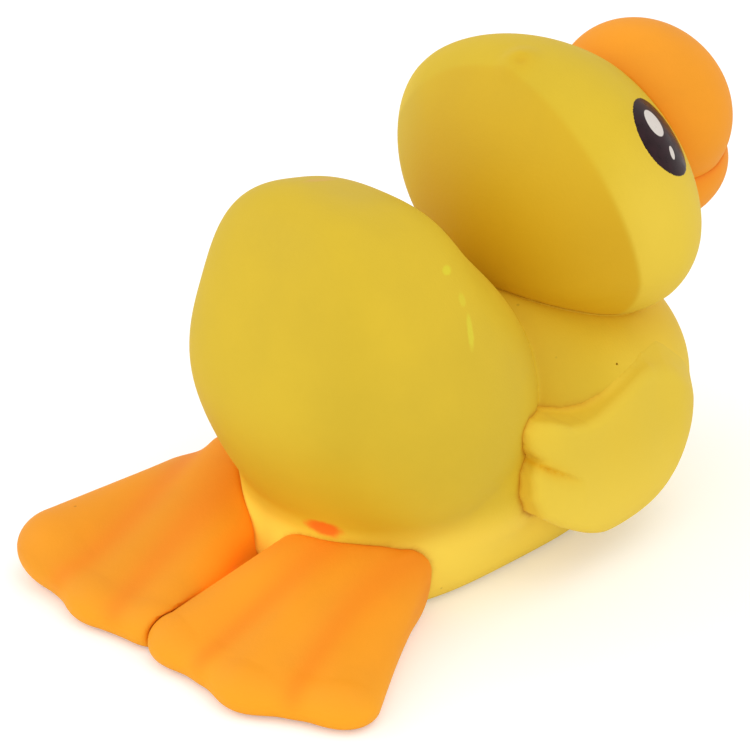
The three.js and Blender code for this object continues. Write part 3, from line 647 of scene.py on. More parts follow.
def yellow_vinyl():
    marks = [
        ((41.3, 79.6, 132.8), (6, 4, 2.6), (0, 0, 0), 0.1, "dedb34", 0.5),
        ((46.0, 82.3, 122.5), (6, 3, 4), (0, -28, 0), 0.1, "dcd83a", 0.35),
        ((50.8, 81.6, 112.4), (6, 2.6, 10), (-13, -25, 0), 0.1, "dcd83a", 0.5),
        # A pinkish line along the tail's lip: a painted highlight.
        ((-14.0, 72.0, 150.0), (4, 16, 4), (0, 0, 0), 0.1, "e0a860", 0.4),
        ((20.0, 41.5, 38.5), (15, 7, 6), (0, 0, 0), 0.0, "ee5a10", 0.8),
    ]
    pot = colours()
    return vinyl("Yellow vinyl", pot.yellow, pot.warm_shade, pot.ochre, pot.glow, marks)


def orange_vinyl():
    marks = [((20.5, 38.5, 38.0), (9, 6, 4), (0, 0, 0), 0.2, "f2500a", 0.9)]
    pot = colours()
    # Painted shade, seam paint with painted shade, and painted light for the orange pieces.
    return vinyl("Orange vinyl", pot.orange, pot.orange_shade, linear("d4620a"), linear("ffae1e"), marks)


def eye_gloss():
    """Dark glossy eye with two printed highlights, placed by the eye's own across and along."""

    def build(tree, vector):
        dark, look = colours().eye, moulded(tree, vector, 260.0, 1500.0)
        inputs = {"X": attribute(tree, "across"), "Y": attribute(tree, "along")}
        both = add(tree, "ShaderNodeCombineXYZ", inputs).outputs[0]
        colour = tint(tree, look["Mottle"], shaded(dark, 0.75), shaded(dark, 1.2))
        for place, size in (((0.354, 0.615, 0.0), (0.16, 0.2, 1.0)), ((0.505, 0.263, 0.0), (0.055, 0.09, 1.0))):
            mark = ragged(tree, vector, spot(tree, both, place, size, 0.75), 700.0, 0.25, 0.3, 0.6)
            colour = tint(tree, mark, colour, colours().eye_light)
        return {
            "Base Color": colour,
            "Roughness": between(tree, look["Mottle"], -3.0, 6.0),
            "Specular IOR Level": 0.15,
            "Normal": bump(tree, look["Grain"], 0.00001),
        }

    return material_of("Eye gloss", build)


def plastic(name, base, rough=0.38):
    """Injection-moulded plastic: faint flow lines, a satin grain and a soft mottle."""

    def build(tree, vector):
        look = moulded(tree, vector, 60.0, 1800.0, 0.01)
        stretched = add(tree, "ShaderNodeMapping", {"Vector": vector, "Scale": (1.0, 0.25, 1.0)}).outputs[0]
        flow = between(tree, noise(tree, stretched, 160.0, 2.0), 0.35, 0.65)
        colour = tint(tree, look["Mottle"], shaded(base, 0.9), shaded(base, 1.05))
        return {
            "Base Color": tint(tree, maths(tree, "MULTIPLY", flow, 0.15), colour, shaded(base, 0.8)),
            "Roughness": maths(tree, "MULTIPLY_ADD", flow, 0.14, rough - 0.05),
            "Normal": bump(tree, look["Grain"], 0.00003),
        }

    return material_of(name, build)


def metal(name, base, rough, grain, depth):
    """Bare metal with dull stains, brushed or cast by its grain."""

    def build(tree, vector):
        look = moulded(tree, vector, 140.0, grain)
        return {
            "Metallic": 1.0,
            "Base Color": tint(tree, look["Mottle"], shaded(base, 0.7), base),
            "Roughness": maths(tree, "MULTIPLY_ADD", look["Mottle"], -0.15, rough + 0.1),
            "Normal": bump(tree, look["Grain"], depth),
        }

    return material_of(name, build)


def rubber():
    """Black rubber with a pale bloom."""

    def build(tree, vector):
        look = moulded(tree, vector, 90.0, 1200.0)
        bloom = maths(tree, "MULTIPLY", look["Mottle"], 0.35)
        return {
            "Base Color": tint(tree, bloom, linear("2b2d30"), linear("6a6d70")),
            "Roughness": between(tree, look["Mottle"], -3.0, 1.6),
            "Normal": bump(tree, look["Grain"], 0.00006),
        }

    return material_of("Black rubber", build)


def plain_floor():
    """Pale matt floor that looks a little brighter to the camera than it is."""

    def build(tree, vector):
        seen = tree.nodes.new("ShaderNodeLightPath").outputs["Is Camera Ray"]
        blot = between(tree, noise(tree, vector, 3.0, 2.0), 0.2, 0.8)
        return {
            "Base Color": tint(tree, blot, shaded(colours().floor, 0.98), colours().floor),
            "Roughness": 0.9,
            "Specular IOR Level": 0.1,
            "Emission Color": (1, 1, 1),
            "Emission Strength": maths(tree, "MULTIPLY", seen, 0.24),
        }

    return material_of("Pale floor", build)


FINISHES = {
    "yellow_vinyl": yellow_vinyl,
    "orange_vinyl": orange_vinyl,
    "eye_gloss": eye_gloss,
    "white_plastic": lambda: plastic("White plastic", colours().white),
    "blue_plastic": lambda: plastic("Blue plastic", colours().blue),
    "clear_hose": lambda: plastic("Clear hose", linear("c9d3d2"), 0.25),
    "screw_steel": lambda: metal("Bright steel", linear("c2c5c9"), 0.25, 2600.0, 0.00003),
    "cast_zinc": lambda: metal("Cast zinc", linear("8f9499"), 0.5, 700.0, 0.0003),
    "black_rubber": rubber,
}


def finish_piece(obj, slot, nodes=(), body="float", sharp=40):
    obj.data.materials.clear()
    obj.data.materials.append(FINISHES[slot]())
    obj.data.shade_smooth()
    obj.data.set_sharp_from_angle(angle=math.radians(sharp))
    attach(obj, body)
    if nodes:
        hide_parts(*nodes)


# ---------------------------------------------------------------- repeats
def realized(tree, node, source):
    """The end of a geometry group: real geometry with its material."""
    real = add(tree, "GeometryNodeRealizeInstances", {"Geometry": node.outputs[0]}).outputs[0]
    done = add(tree, "GeometryNodeSetMaterial", {"Geometry": real, "Material": source["Material"]})
    return {"Geometry": done.outputs[0]}


def ring_group():
    """Copies a mesh round an upright axis."""

    def build(tree, source):
        points = add(tree, "GeometryNodePoints", {"Count": source["Count"], "Position": source["Centre"]})
        index = tree.nodes.new("GeometryNodeInputIndex").outputs[0]
        step = maths(tree, "DIVIDE", 2 * math.pi, source["Count"])
        angle = maths(tree, "ADD", maths(tree, "MULTIPLY", index, step), source["First Angle"])
        turn = add(tree, "ShaderNodeCombineXYZ", {"Z": angle}).outputs[0]
        inputs = {"Points": points.outputs[0], "Instance": source["Geometry"], "Rotation": turn}
        return realized(tree, add(tree, "GeometryNodeInstanceOnPoints", inputs), source)

    inputs = {"Geometry": "Geometry", "Count": 4, "First Angle": 0.0, "Centre": "Vector", "Material": "Material"}
    return node_group("GeometryNodeTree", "Ring of copies", inputs, ("Geometry",), build)


def bead_group():
    """Runs a thin, uneven bead of flash along a seam, thick in places and thinner in others."""

    def build(tree, source):
        curve = add(tree, "GeometryNodeMeshToCurve", {"Mesh": source["Geometry"]}).outputs[0]
        even = add(tree, "GeometryNodeResampleCurve", {"Curve": curve, "Length": source["Step"]}, mode="LENGTH")
        place = tree.nodes.new("GeometryNodeInputPosition").outputs[0]
        inputs = {"Vector": place, "W": source["Seed"], "Scale": source["Scale"], "Detail": 4.0, "Roughness": 0.6}
        wave = add(tree, "ShaderNodeTexNoise", inputs, noise_dimensions="4D").outputs[0]
        share = maths(tree, "MAXIMUM", between(tree, wave, 0.42, 0.72), 0.45)
        thick = maths(tree, "MULTIPLY", share, source["Radius"])
        outline = add(tree, "GeometryNodeCurvePrimitiveCircle", {"Resolution": 8, "Radius": 1.0}).outputs[0]
        inputs = {"Curve": even.outputs[0], "Profile Curve": outline, "Scale": thick}
        bead = add(tree, "GeometryNodeCurveToMesh", inputs).outputs[0]
        return realized(tree, add(tree, "GeometryNodeSetShadeSmooth", {"Geometry": bead}), source)

    inputs = {"Geometry": "Geometry", "Radius": 0.0004, "Step": 0.0006, "Scale": 120.0, "Seed": 3.0}
    inputs["Material"] = "Material"
    return node_group("GeometryNodeTree", "Seam flash", inputs, ("Geometry",), build)


def grown(obj, group, values):
    """Runs a geometry node group on a piece and keeps what it makes as the piece's own mesh."""
    modifier = obj.modifiers.new("grown", "NODES")
    modifier.node_group = group
    names = {item.name: item.identifier for item in group.interface.items_tree if item.in_out == "INPUT"}
    for label, value in values.items():
        modifier[names[label]] = value
    obj.update_tag()
    return applied(obj)


def ring(obj, count, material=None, first=0.0):
    """Copies a mesh made round the world's own axis to its places round the chamber."""
    centre = tuple(to_frame((0, CHAMBER_Y, 0)))
    values = {"Count": count, "First Angle": math.radians(first), "Centre": centre}
    if material:
        values["Material"] = material
    return grown(obj, ring_group(), values)


# ---------------------------------------------------------------- shapes of the fittings
# Radii and heights in millimetres, as in the part's source.
BASE, HEAD_TOP = 1.0, 2.7
FLANGE_BOTTOM, FLANGE_TOP, FLANGE_RADIUS, SCREW_RING = 3.0, 6.0, 29.8, 26.2
HUB_RADIUS, HUB_TOP, BORE, CUP_RADIUS, CUP_TOP = 22.6, 11.0, 16.9, 18.9, 64.5
CUP_ROOF, NIPPLE_TOP, NIPPLE_RADIUS, NIPPLE_BORE = CUP_TOP - 2.5, CUP_TOP + 6, 2.2, 1.1
BASKET_RADIUS, BASKET_INNER, BASKET_BOTTOM, BASKET_FLOOR, BASKET_TOP = 16.3, 14.3, 10.1, 12.1, 58.0
BOSS_RADIUS, BOSS_TOP, SLOT_WIDTH, SLOT_GAP, DRAIN_RING, DRAIN_RADIUS = 3.8, BASKET_FLOOR + 6, 4, 5, 9.6, 2
CAP_BOTTOM, CAP_TOP, CAP_RIM, NOTCH_RADIUS = 5.3, 9.8, 3.2, 1.1
DIAL_RADIUS, DIAL_BOTTOM, DIAL_TOP = 12.8, 3.0, 5.0
LUG_BOTTOM, LUG_TOP, LEDGE_TOP, LUG_REACH, LUG_GAP, LUGS = 5.6, 7.6, 5.3, 3.2, 0.3, (0, 120, 240)
PIVOT_HOLE, PIVOT_RADIUS, PIVOT_TOP, PIVOT_ROOM = 1.6, 1.3, 15.0, 15.3
KEY_ANGLE, KEY_REACH, QUARTERS, WINDOW_HALF = 300, 1.3, (0, 90, 180, 270), 20
NECK_Y, NECK_BORE = 166, 16.3
LAND_RADIUS, LAND_TOP, COLLAR_RADIUS, COLLAR_BOTTOM = 33.8, 18.6, 21, 80
POCKET_RADIUS, POCKET_TOP, MOUTH_RADIUS, MOUTH_TOP = 30.1, 8.6, 22.9, 30
PINHOLE = np.array([54.8, 152.9, 76.1])


def neck_bore():
    return post(NECK_BORE, 70, 125, y=NECK_Y)


def hole_at(radius, distance, angle, bottom, top, sides):
    """An upright rod beside the chamber's axis, for a screw hole or a drain."""
    a = math.radians(angle)
    return post(radius, bottom, top, CHAMBER_Y + distance * math.sin(a), distance * math.cos(a), sides)


def rounded(profile, radius, steps=3):
    """A closed outline of (radius, height) points with its corners eased, but for those on the axis."""
    points = [np.array(p, float) for p in profile]
    out = []
    for i, here in enumerate(points):
        if here[0] < 1e-6:
            out.append(here)
            continue
        a, b = points[i - 1] - here, points[(i + 1) % len(points)] - here
        room = min(radius, np.linalg.norm(a) * 0.45, np.linalg.norm(b) * 0.45)
        a, b = here + unit(a) * room, here + unit(b) * room
        for t in np.arange(steps + 1) / steps:
            out.append((1 - t) ** 2 * a + 2 * t * (1 - t) * here + t * t * b)
    return out


def lathe(name, profile, sides=144, ease=0.35, x=0.0):
    """A closed mesh turned from an outline of (radius, height) points round an axis at x."""
    angles = np.arange(sides) * 2 * math.pi / sides
    shape, rounds = bmesh.new(), []
    for radius, z in rounded(profile, ease):
        if radius < 1e-6:
            rounds.append([shape.verts.new(to_frame((x, CHAMBER_Y, z)))] * sides)
        else:
            places = [(x + radius * math.cos(a), CHAMBER_Y + radius * math.sin(a), z) for a in angles]
            rounds.append([shape.verts.new(place) for place in to_frame(places)])
    for one, after in zip(rounds, rounds[1:] + rounds[:1]):
        for k in range(sides):
            face = [one[k], one[(k + 1) % sides], after[(k + 1) % sides], after[k]]
            face = [v for j, v in enumerate(face) if v != face[j - 1]]
            if len(face) > 2:
                shape.faces.new(face)
    bmesh.ops.recalc_face_normals(shape, faces=shape.faces)
    return from_shape(name, shape)


def loft(low, high):
    """A closed solid between two outlines in metres with as many points."""
    shape = bmesh.new()
    low, high = ([shape.verts.new(place) for place in outline] for outline in (low, high))
    for face in (low[::-1], high, *zip(low, low[1:] + low[:1], high[1:] + high[:1], high)):
        shape.faces.new(face)
    bmesh.ops.recalc_face_normals(shape, faces=shape.faces)
    return from_shape("loft", shape)


def prism(corners, bottom, top):
    """A closed upright prism over an outline of (x, y) points round the chamber's axis."""
    return loft(*([to_frame((x, CHAMBER_Y + y, z)) for x, y in corners] for z in (bottom, top)))


def wedge(outer, inner, start, end, bottom, top, steps=12):
    """A closed piece of an upright tube between two angles."""
    turns = np.radians(np.linspace(start, end, steps + 1))
    rim = [(outer * math.cos(a), outer * math.sin(a)) for a in turns]
    back = [(inner * math.cos(a), inner * math.sin(a)) for a in turns[::-1]]
    return prism(rim + back, bottom, top)


def window(angle, bottom, top):
    return wedge(11, 4.6, angle - WINDOW_HALF, angle + WINDOW_HALF, bottom, top, 16)


def slab(width, inner, outer, angle, bottom, top):
    """A closed upright block that reaches out from the chamber's axis at an angle."""
    a = math.radians(angle)
    along, aside = np.array([math.cos(a), math.sin(a)]), np.array([-math.sin(a), math.cos(a)]) * width / 2
    steps = ((inner, -1), (outer, -1), (outer, 1), (inner, 1))
    return prism([along * reach + aside * hand for reach, hand in steps], bottom, top)


def stadium(width, height, inner, outer, bottom, steps=8):
    """A closed bar with rounded ends, lying along +X from the world's own axis, to be copied round it."""
    half = width / 2
    turns = [math.pi * k / steps for k in range(steps + 1)]
    outline = [(half * math.cos(a), bottom + height - half + half * math.sin(a)) for a in turns]
    outline += [(-half * math.cos(a), bottom + half - half * math.sin(a)) for a in turns]
    return loft(*([(x * MM, y * MM, z * MM) for y, z in outline] for x in (inner, outer)))


def at_origin(obj):
    """Moves a piece made round the chamber's axis to the world's own axis, to be copied round it."""
    obj.data.transform(Matrix.Translation(-Vector(to_frame((0, CHAMBER_Y, 0)))))
    return obj


def screw_shape(name, radius, head_radius, top, distance):
    """A pan-head screw, head down, with a domed face, a cross recess and a pointed end."""
    outline = [
        (0, BASE), (head_radius * 0.75, BASE + 0.08), (head_radius, BASE + 0.75), (head_radius, HEAD_TOP),
        (radius, HEAD_TOP), (radius, top - 0.8), (radius * 0.6, top), (0, top),
    ]
    obj = lathe(name, outline, 64, 0.25, distance)
    reach, width = head_radius * 0.62, head_radius * 0.16
    for long, wide in ((reach, width), (width, reach)):
        cut(obj, slab(wide * 2, distance - long, distance + long, 0, BASE - 0.5, BASE + 1))
    return obj


# ---------------------------------------------------------------- pieces
class DISPENSER_OT_body_skin(bpy.types.Operator):
    """Builds the hollow body shell with its base pocket and vent pinhole"""

    bl_idname = "dispenser.body_skin"
    bl_label = "Body shell"

    def execute(self, context):
        wall, cell, pinhole = lengths("wall", "skin_cell", "pinhole")
        low, high = (-69, 8, -3), (69, 230, 164)
        obj = skin("body_skin", standing(3, BODY), low, high, cell)

        def inside(p):
            x, y, z = p.T
            land = np.maximum(np.hypot(x, y - CHAMBER_Y) - LAND_RADIUS, z - LAND_TOP)
            collar = np.maximum(np.hypot(x, y - NECK_Y) - COLLAR_RADIUS, COLLAR_BOTTOM - z)
            return np.maximum.reduce([BODY(p) + wall, wall - z, -land, -collar])

        cut(obj, skin("liner", inside, low, high, cell * 3))
        cut(obj, post(POCKET_RADIUS, -1, POCKET_TOP, sides=160))
        cut(obj, post(MOUTH_RADIUS, 0, MOUTH_TOP, sides=128))
        cut(obj, neck_bore())
        out = slope_of(BODY, PINHOLE[None])[0]
        place = reached(BODY, PINHOLE - out * 3, out)
        cut(obj, rod(pinhole, place - out * 4, place + out * 2, 24))
        p = from_frame(obj)
        x, y, z = p.T
        outer, raised, head = np.abs(x), ramp(z, 30, 36), HEAD(p)
        wing, feet = (np.minimum(rules[1](p), rules[-1](p)) for rules in (WINGS, FEET))
        # Painted shade: the breast under the head, a band along the rump's lower edge and the lower rear of the rump.
        breast_shade = ramp(RUMP(p) - BREAST(p), 0, 2) * ramp(z, 56, 72) * ramp(outer, 66, 44) * (0.18 + 0.3 * near(head, 14))
        rump_edge_shade = near(np.abs(z - 41), 7) * ramp(y, 75, 50) * 0.5 * raised * ramp(outer, 52, 34)
        warm_shade = ramp(z, 85, 40) * ramp(y, 110, 70) * 0.3 * raised * ramp(outer, 54, 36)
        # Where a painted glow lightens the crevice between the feet.
        cleft = near(feet, 12) * ramp(outer, 40, 20) * ramp(y, 90, 70) * ramp(z, 2, 12)
        # Paint and painted shade along the joints, painted shade near the head and feet, painted light low on the hull,
        # at the breast's front and near the wings' front, and a painted glow between the feet and below the head.
        note(
            obj,
            seam=[near(head, 1.2) * 0.7, near(wing, 1.8) * ramp(y, 160, 132), near(feet, 1.6) * ramp(z, 1, 6) * 0.5],
            tone=[breast_shade, near(head, 9) * 0.6, near(feet, 4) * 0.5 * raised, rump_edge_shade, warm_shade],
            glow=[ramp(z, 46, 24), ramp(y, 150, 180) * 0.35, near(wing, 12) * ramp(y, 140, 160) * 0.3],
            lit=[cleft * 0.6, near(head, 18) * 0.3],
        )
        finish_piece(obj, "yellow_vinyl", ["body_shell"])
        return {"FINISHED"}


class DISPENSER_OT_head_skin(bpy.types.Operator):
    """Builds the hollow head shell that sits on the body"""

    bl_idname = "dispenser.head_skin"
    bl_label = "Head shell"

    def execute(self, context):
        wall, cell, roll, depth = lengths("wall", "skin_cell", "seam_roll", "seat_depth")
        low, high = (-70, 112, 64), (70, 226, 186)
        nub = reached(HEAD, HEAD_CENTRE, np.array([3.5, 152.3, 178.4]) - HEAD_CENTRE)
        dimpled = seated(1.2, HEAD, lump(nub + RISE * 2.6 - AHEAD * 0.5, (8, 8, 7.6)))
        obj = skin("head_skin", seated(roll, dimpled, BODY, depth), low, high, cell)
        inner = lambda p: np.maximum(HEAD(p) + wall, wall + 0.3 - BODY(p))
        cut(obj, skin("liner", inner, low, high, cell * 3))
        cut(obj, neck_bore())
        p = from_frame(obj)
        x, y, z = p.T
        body = BODY(p)
        # Painted shade on the nape's flat, which faces the rump, near the body and in the crown's dimple; painted light
        # on the cheeks; a painted glow on the nape near the body.
        behind = ramp((np.stack([np.abs(x), y, z], 1) - NAPE_PLACE) @ NAPE_NORMAL, 0.8, -1.6)
        nape = behind * (0.34 + 0.36 * ramp(z, 175, 120)) * ramp(x, -62, -20)
        hollow = near(np.linalg.norm(p - nub, axis=1), 3) * 0.7
        note(
            obj,
            seam=[near(body, 1.5) * 0.7, near(BILL(p), 1.0) * 0.2],
            tone=[near(body, 8) * 0.5 * ramp(x, 56, 30), nape, hollow],
            glow=[ramp(np.abs(x), 40, 64) * 0.4 * (1 - behind)],
            lit=[near(body, 20) * behind * 0.25],
        )
        finish_piece(obj, "yellow_vinyl", ["head_shell"])
        return {"FINISHED"}


class DISPENSER_OT_bills(bpy.types.Operator):
    """Builds the upper and lower bill"""

    bl_idname = "dispenser.bills"
    bl_label = "Bills"

    def execute(self, context):
        cell, depth = lengths("skin_cell", "seat_depth")
        beneath = seated(2, seated(1.5, JAW, HEAD, depth), BILL, depth)
        for name, node, rule, low, high in (
            ("bill_skin", "upper_bill", seated(1.5, BILL, HEAD, depth), (-38, 180, 90), (38, 262, 190)),
            ("jaw_skin", "lower_bill", beneath, (-34, 180, 80), (34, 258, 150)),
        ):
            obj = skin(name, rule, low, high, cell * 0.8)
            p = from_frame(obj)
            # Painted shade where the bills meet the head and where the jaw tucks under the bill; paint and painted
            # shade along those joints.
            if node == "upper_bill":
                seam, tone = 0, near(JAW(p), 2) * ramp(p[:, 2], 120, 105) * 0.5
            else:
                seam, tone = near(BILL(p), 1.0) * 0.6, near(BILL(p), 3) * 0.6
            note(obj, seam=[near(HEAD(p), 0.8) * 0.3, seam], tone=[near(HEAD(p), 5) * 0.2, tone])
            finish_piece(obj, "orange_vinyl", [node])
        return {"FINISHED"}


class DISPENSER_OT_eyes(bpy.types.Operator):
    """Builds the two oval, glossy eyes"""

    bl_idname = "dispenser.eyes"
    bl_label = "Eyes"

    def execute(self, context):
        (dome,) = lengths("eye_dome")
        half_width, half_height = 14.4, 16.4
        for hand, side in HANDS:
            ray = AHEAD * 20 + RISE * 25.6 + np.array([50.0 * hand, 0, 0])
            on = reached(HEAD, HEAD_CENTRE, unit(ray))
            out = unit(slope_of(HEAD, on[None])[0])
            lean = np.array([-24.2 * hand, 8.4, 19.2])
            lean = unit(lean - out * (lean @ out))
            across = np.cross(lean, out) * hand

            def flat(p):
                return (p - on) @ across / half_width, (p - on) @ lean / half_height

            def rule(p):
                share = np.hypot(*flat(p))
                top = HEAD(p) - dome * np.maximum(1 - share**2, -1)
                return np.maximum.reduce([top, -HEAD(p) - 0.8, (share - 1) * 10])

            obj = skin(f"{side}_eye_lens", rule, on - 20, on + 20, 0.42)
            a, b = flat(from_frame(obj))
            note(obj, across=[(a + 1) / 2], along=[(b + 1) / 2])
            finish_piece(obj, "eye_gloss", [f"{side}_eye"], sharp=50)
        return {"FINISHED"}


class DISPENSER_OT_wings(bpy.types.Operator):
    """Builds the two wings, which flow out of the body at the shoulder and stand clear at their tips"""

    bl_idname = "dispenser.wings"
    bl_label = "Wings"

    def execute(self, context):
        (cell,) = lengths("skin_cell")
        for hand, side in HANDS:

            def rule(p):
                body, y, z = BODY(p), p[:, 1], p[:, 2]
                run = lower(WINGS[hand](p), body, 1.6 + 1.2 * ramp(y, 108, 130) + 9 * ramp(y, 158, 180))
                proud = body - run
                # Where the wing hardly stands proud of the body, its rim goes down under the body's skin.
                sunk = 0.25 + 0.9 * ramp(proud, 0.3, 0.05)
                return np.maximum.reduce([higher(run + sunk, -z, 2.0), -body - 1.8, 4 * (0.05 - proud)])

            start, end = sorted((20 * hand, 80 * hand))
            obj = skin(f"{side}_wing_skin", rule, (start, 86, -2), (end, 212, 88), cell * 0.8)
            p = from_frame(obj)
            body, y = BODY(p), p[:, 1]
            # Paint and painted shade along the shoulder, the crease and the edge near the body; painted light, more on
            # the lower wing; a painted glow at the shoulder and in the crease.
            shoulder = ramp(y, 160, 132)
            above, strength = crease(p)
            cleft = near(np.abs(above + 0.6), 1.8) * strength
            edge = near(-outline_distance(p), 1.6) * ramp(y, 150, 108)
            note(
                obj,
                seam=[near(body, 1.4) * shoulder * 0.7, cleft * 0.45, edge * 0.2 * near(body, 3)],
                tone=[near(body, 4) * shoulder * 0.4, cleft * 0.9],
                glow=[0.3 + ramp(p[:, 2], 60, 15) * 0.4],
                lit=[near(body, 5) * shoulder * 0.35, cleft * 0.55],
            )
            finish_piece(obj, "yellow_vinyl", [f"{side}_wing"])
        return {"FINISHED"}


class DISPENSER_OT_feet(bpy.types.Operator):
    """Builds the two three-toed feet"""

    bl_idname = "dispenser.feet"
    bl_label = "Feet"

    def execute(self, context):
        cell, depth = lengths("skin_cell", "seat_depth")
        for hand, side in HANDS:
            rule = seated(3, standing(3, FEET[hand]), BODY, depth)
            if hand < 0:
                rule = seated(2, rule, FEET[1], -0.15)
            xs = [x for root, tip, *_ in TOES[hand] for x in (root[0], tip[0])]
            obj = skin(f"{side}_foot_skin", rule, (min(xs) - 20, -30, -2), (max(xs) + 20, 86, 48), cell)
            p = from_frame(obj)
            body, other, y, z = BODY(p), FEET[-hand](p), p[:, 1], p[:, 2]
            # Painted shade in the folds between the toes, near the body and on the side facing the other foot; painted
            # light along the lower edges; a painted glow on the side facing the other foot; paint and painted shade
            # along the joints.
            nearest, second, _ = np.sort([toe(p) for toe in toe_rules(hand)], axis=0)
            fold_shade = np.exp(-(((second - nearest) / 6) ** 2)) * ramp(z, 2, 12)
            note(
                obj,
                seam=[near(body, 0.9) * 0.5, near(other, 0.8) * 0.4],
                tone=[fold_shade * 0.4, near(body, 8.0) * 0.35, near(other, 7.0) * ramp(y, 2, 30) * 0.9],
                glow=[ramp(z, 16, 3) * 0.8],
                lit=[near(other, 12.0) * ramp(y, 0, 24)],
            )
            finish_piece(obj, "orange_vinyl", [f"{side}_foot"])
        return {"FINISHED"}


class DISPENSER_OT_neck_flash(bpy.types.Operator):
    """Runs a thin bead of flash along the seam between head and body"""

    bl_idname = "dispenser.neck_flash"
    bl_label = "Neck flash"

    def execute(self, context):
        # An oval round the neck is pulled onto the line where head and body meet.
        middle, turns = 168, np.linspace(0, 2 * np.pi, 240, endpoint=False)
        p = np.stack([45 * np.cos(turns), middle + 32 * np.sin(turns), 96 + 0 * turns], axis=1)
        for _ in range(60):
            values = np.stack([HEAD(p), BODY(p)], axis=1)
            slopes = np.stack([slope_of(HEAD, p), slope_of(BODY, p)], axis=1)
            step = np.einsum("nij,nj->ni", np.linalg.pinv(slopes, rcond=1e-3), values)
            p = p - np.clip(step, -3, 3)
        p = p[np.abs(HEAD(p)) + np.abs(BODY(p)) < 0.1]
        p = p[np.argsort(np.arctan2(p[:, 1] - middle, p[:, 0]))]
        joins = [(i, (i + 1) % len(p)) for i in range(len(p))]
        joins = [(i, k) for i, k in joins if np.linalg.norm(p[i] - p[k]) < 6]
        obj = from_points("neck_flash", p, joins, [])
        values = {"Radius": context.scene.dispenser_sizes.flash, "Step": 0.0006, "Scale": 130.0, "Seed": 3.0}
        grown(obj, bead_group(), {**values, "Material": yellow_vinyl()})
        # The bead takes the paint and painted shade of the seam.
        note(obj, seam=[0.3], tone=[0.4])
        finish_piece(obj, "yellow_vinyl")
        return {"FINISHED"}


class DISPENSER_OT_cup(bpy.types.Operator):
    """Builds the tablet cup with its flange, bayonet track, keyway and nipple"""

    bl_idname = "dispenser.cup"
    bl_label = "Tablet cup"

    def execute(self, context):
        outline = [
            (BORE, FLANGE_BOTTOM), (FLANGE_RADIUS, FLANGE_BOTTOM), (FLANGE_RADIUS, FLANGE_TOP),
            (HUB_RADIUS, FLANGE_TOP), (HUB_RADIUS, HUB_TOP), (CUP_RADIUS, HUB_TOP), (CUP_RADIUS, CUP_TOP),
            (NIPPLE_RADIUS, CUP_TOP), (NIPPLE_RADIUS, NIPPLE_TOP), (NIPPLE_BORE, NIPPLE_TOP),
            (NIPPLE_BORE, CUP_ROOF), (BORE, CUP_ROOF),
        ]
        obj = lathe("cup_skin", outline)
        outer, inner, track_top = BORE + LUG_REACH, BORE - 1, LUG_TOP + LUG_GAP
        for angle in LUGS:
            cut(obj, wedge(outer, inner, angle - 14, angle + 14, FLANGE_BOTTOM - 1, track_top))
            cut(obj, wedge(outer, inner, angle, angle + 54, LEDGE_TOP, track_top, 16))
        cut(obj, slab(3.6, 8, BORE + KEY_REACH, KEY_ANGLE, FLANGE_BOTTOM - 1, BASKET_TOP + 0.6))
        for angle in QUARTERS:
            cut(obj, hole_at(1.55, SCREW_RING, angle + 45, FLANGE_BOTTOM - 1, FLANGE_TOP + 1, 32))
        finish_piece(obj, "white_plastic", ["tablet_cup"], sharp=35)
        return {"FINISHED"}


class DISPENSER_OT_basket(bpy.types.Operator):
    """Builds the slotted tablet basket with its key and boss"""

    bl_idname = "dispenser.basket"
    bl_label = "Tablet basket"

    def execute(self, context):
        outline = [
            (PIVOT_HOLE, BASKET_BOTTOM), (BASKET_RADIUS, BASKET_BOTTOM), (BASKET_RADIUS, BASKET_TOP),
            (BASKET_INNER, BASKET_TOP), (BASKET_INNER, BASKET_FLOOR), (BOSS_RADIUS, BASKET_FLOOR),
            (BOSS_RADIUS, BOSS_TOP), (0, BOSS_TOP), (0, PIVOT_ROOM), (PIVOT_HOLE, PIVOT_ROOM),
        ]
        obj = lathe("basket_skin", outline)
        tier = (BASKET_TOP - BASKET_FLOOR) / 2 - SLOT_GAP
        for level in (0, 1):
            bottom = BASKET_FLOOR + SLOT_GAP * (level + 0.5) + tier * level
            cut(obj, ring(stadium(SLOT_WIDTH, tier, BASKET_INNER - 1, BASKET_RADIUS + 1, bottom), 8))
        for k in range(6):
            cut(obj, hole_at(DRAIN_RADIUS, DRAIN_RING, 60 * k, BASKET_BOTTOM - 1, BASKET_FLOOR + 1, 40))
        inner, outer = BASKET_RADIUS - 1, BASKET_RADIUS + KEY_REACH
        cut(obj, slab(3, inner, outer, KEY_ANGLE, BASKET_BOTTOM + 0.01, BASKET_TOP - 0.01), "UNION")
        finish_piece(obj, "white_plastic", ["tablet_basket"], "basket", sharp=35)
        return {"FINISHED"}


class DISPENSER_OT_lock_cap(bpy.types.Operator):
    """Builds the bayonet lock cap with its grip rim, lugs and windows"""

    bl_idname = "dispenser.lock_cap_skin"
    bl_label = "Lock cap"

    def execute(self, context):
        rim = BASKET_RADIUS - CAP_RIM
        outline = [
            (PIVOT_HOLE, CAP_BOTTOM), (rim, CAP_BOTTOM), (rim, BASE),
            (BASKET_RADIUS, BASE), (BASKET_RADIUS, CAP_TOP), (PIVOT_HOLE, CAP_TOP),
        ]
        obj = lathe("lock_cap_skin", outline, ease=0.5)
        cut(obj, ring(at_origin(post(NOTCH_RADIUS, BASE - 1, CAP_BOTTOM, x=BASKET_RADIUS, sides=32)), 12))
        for angle in QUARTERS:
            cut(obj, window(angle, CAP_BOTTOM - 1, CAP_TOP + 1))
        for angle in LUGS:
            outer = BORE + LUG_REACH - LUG_GAP
            cut(obj, wedge(outer, BASKET_RADIUS - 1, angle - 12, angle + 12, LUG_BOTTOM, LUG_TOP), "UNION")
        finish_piece(obj, "blue_plastic", ["lock_cap"], "lock_cap", sharp=35)
        return {"FINISHED"}


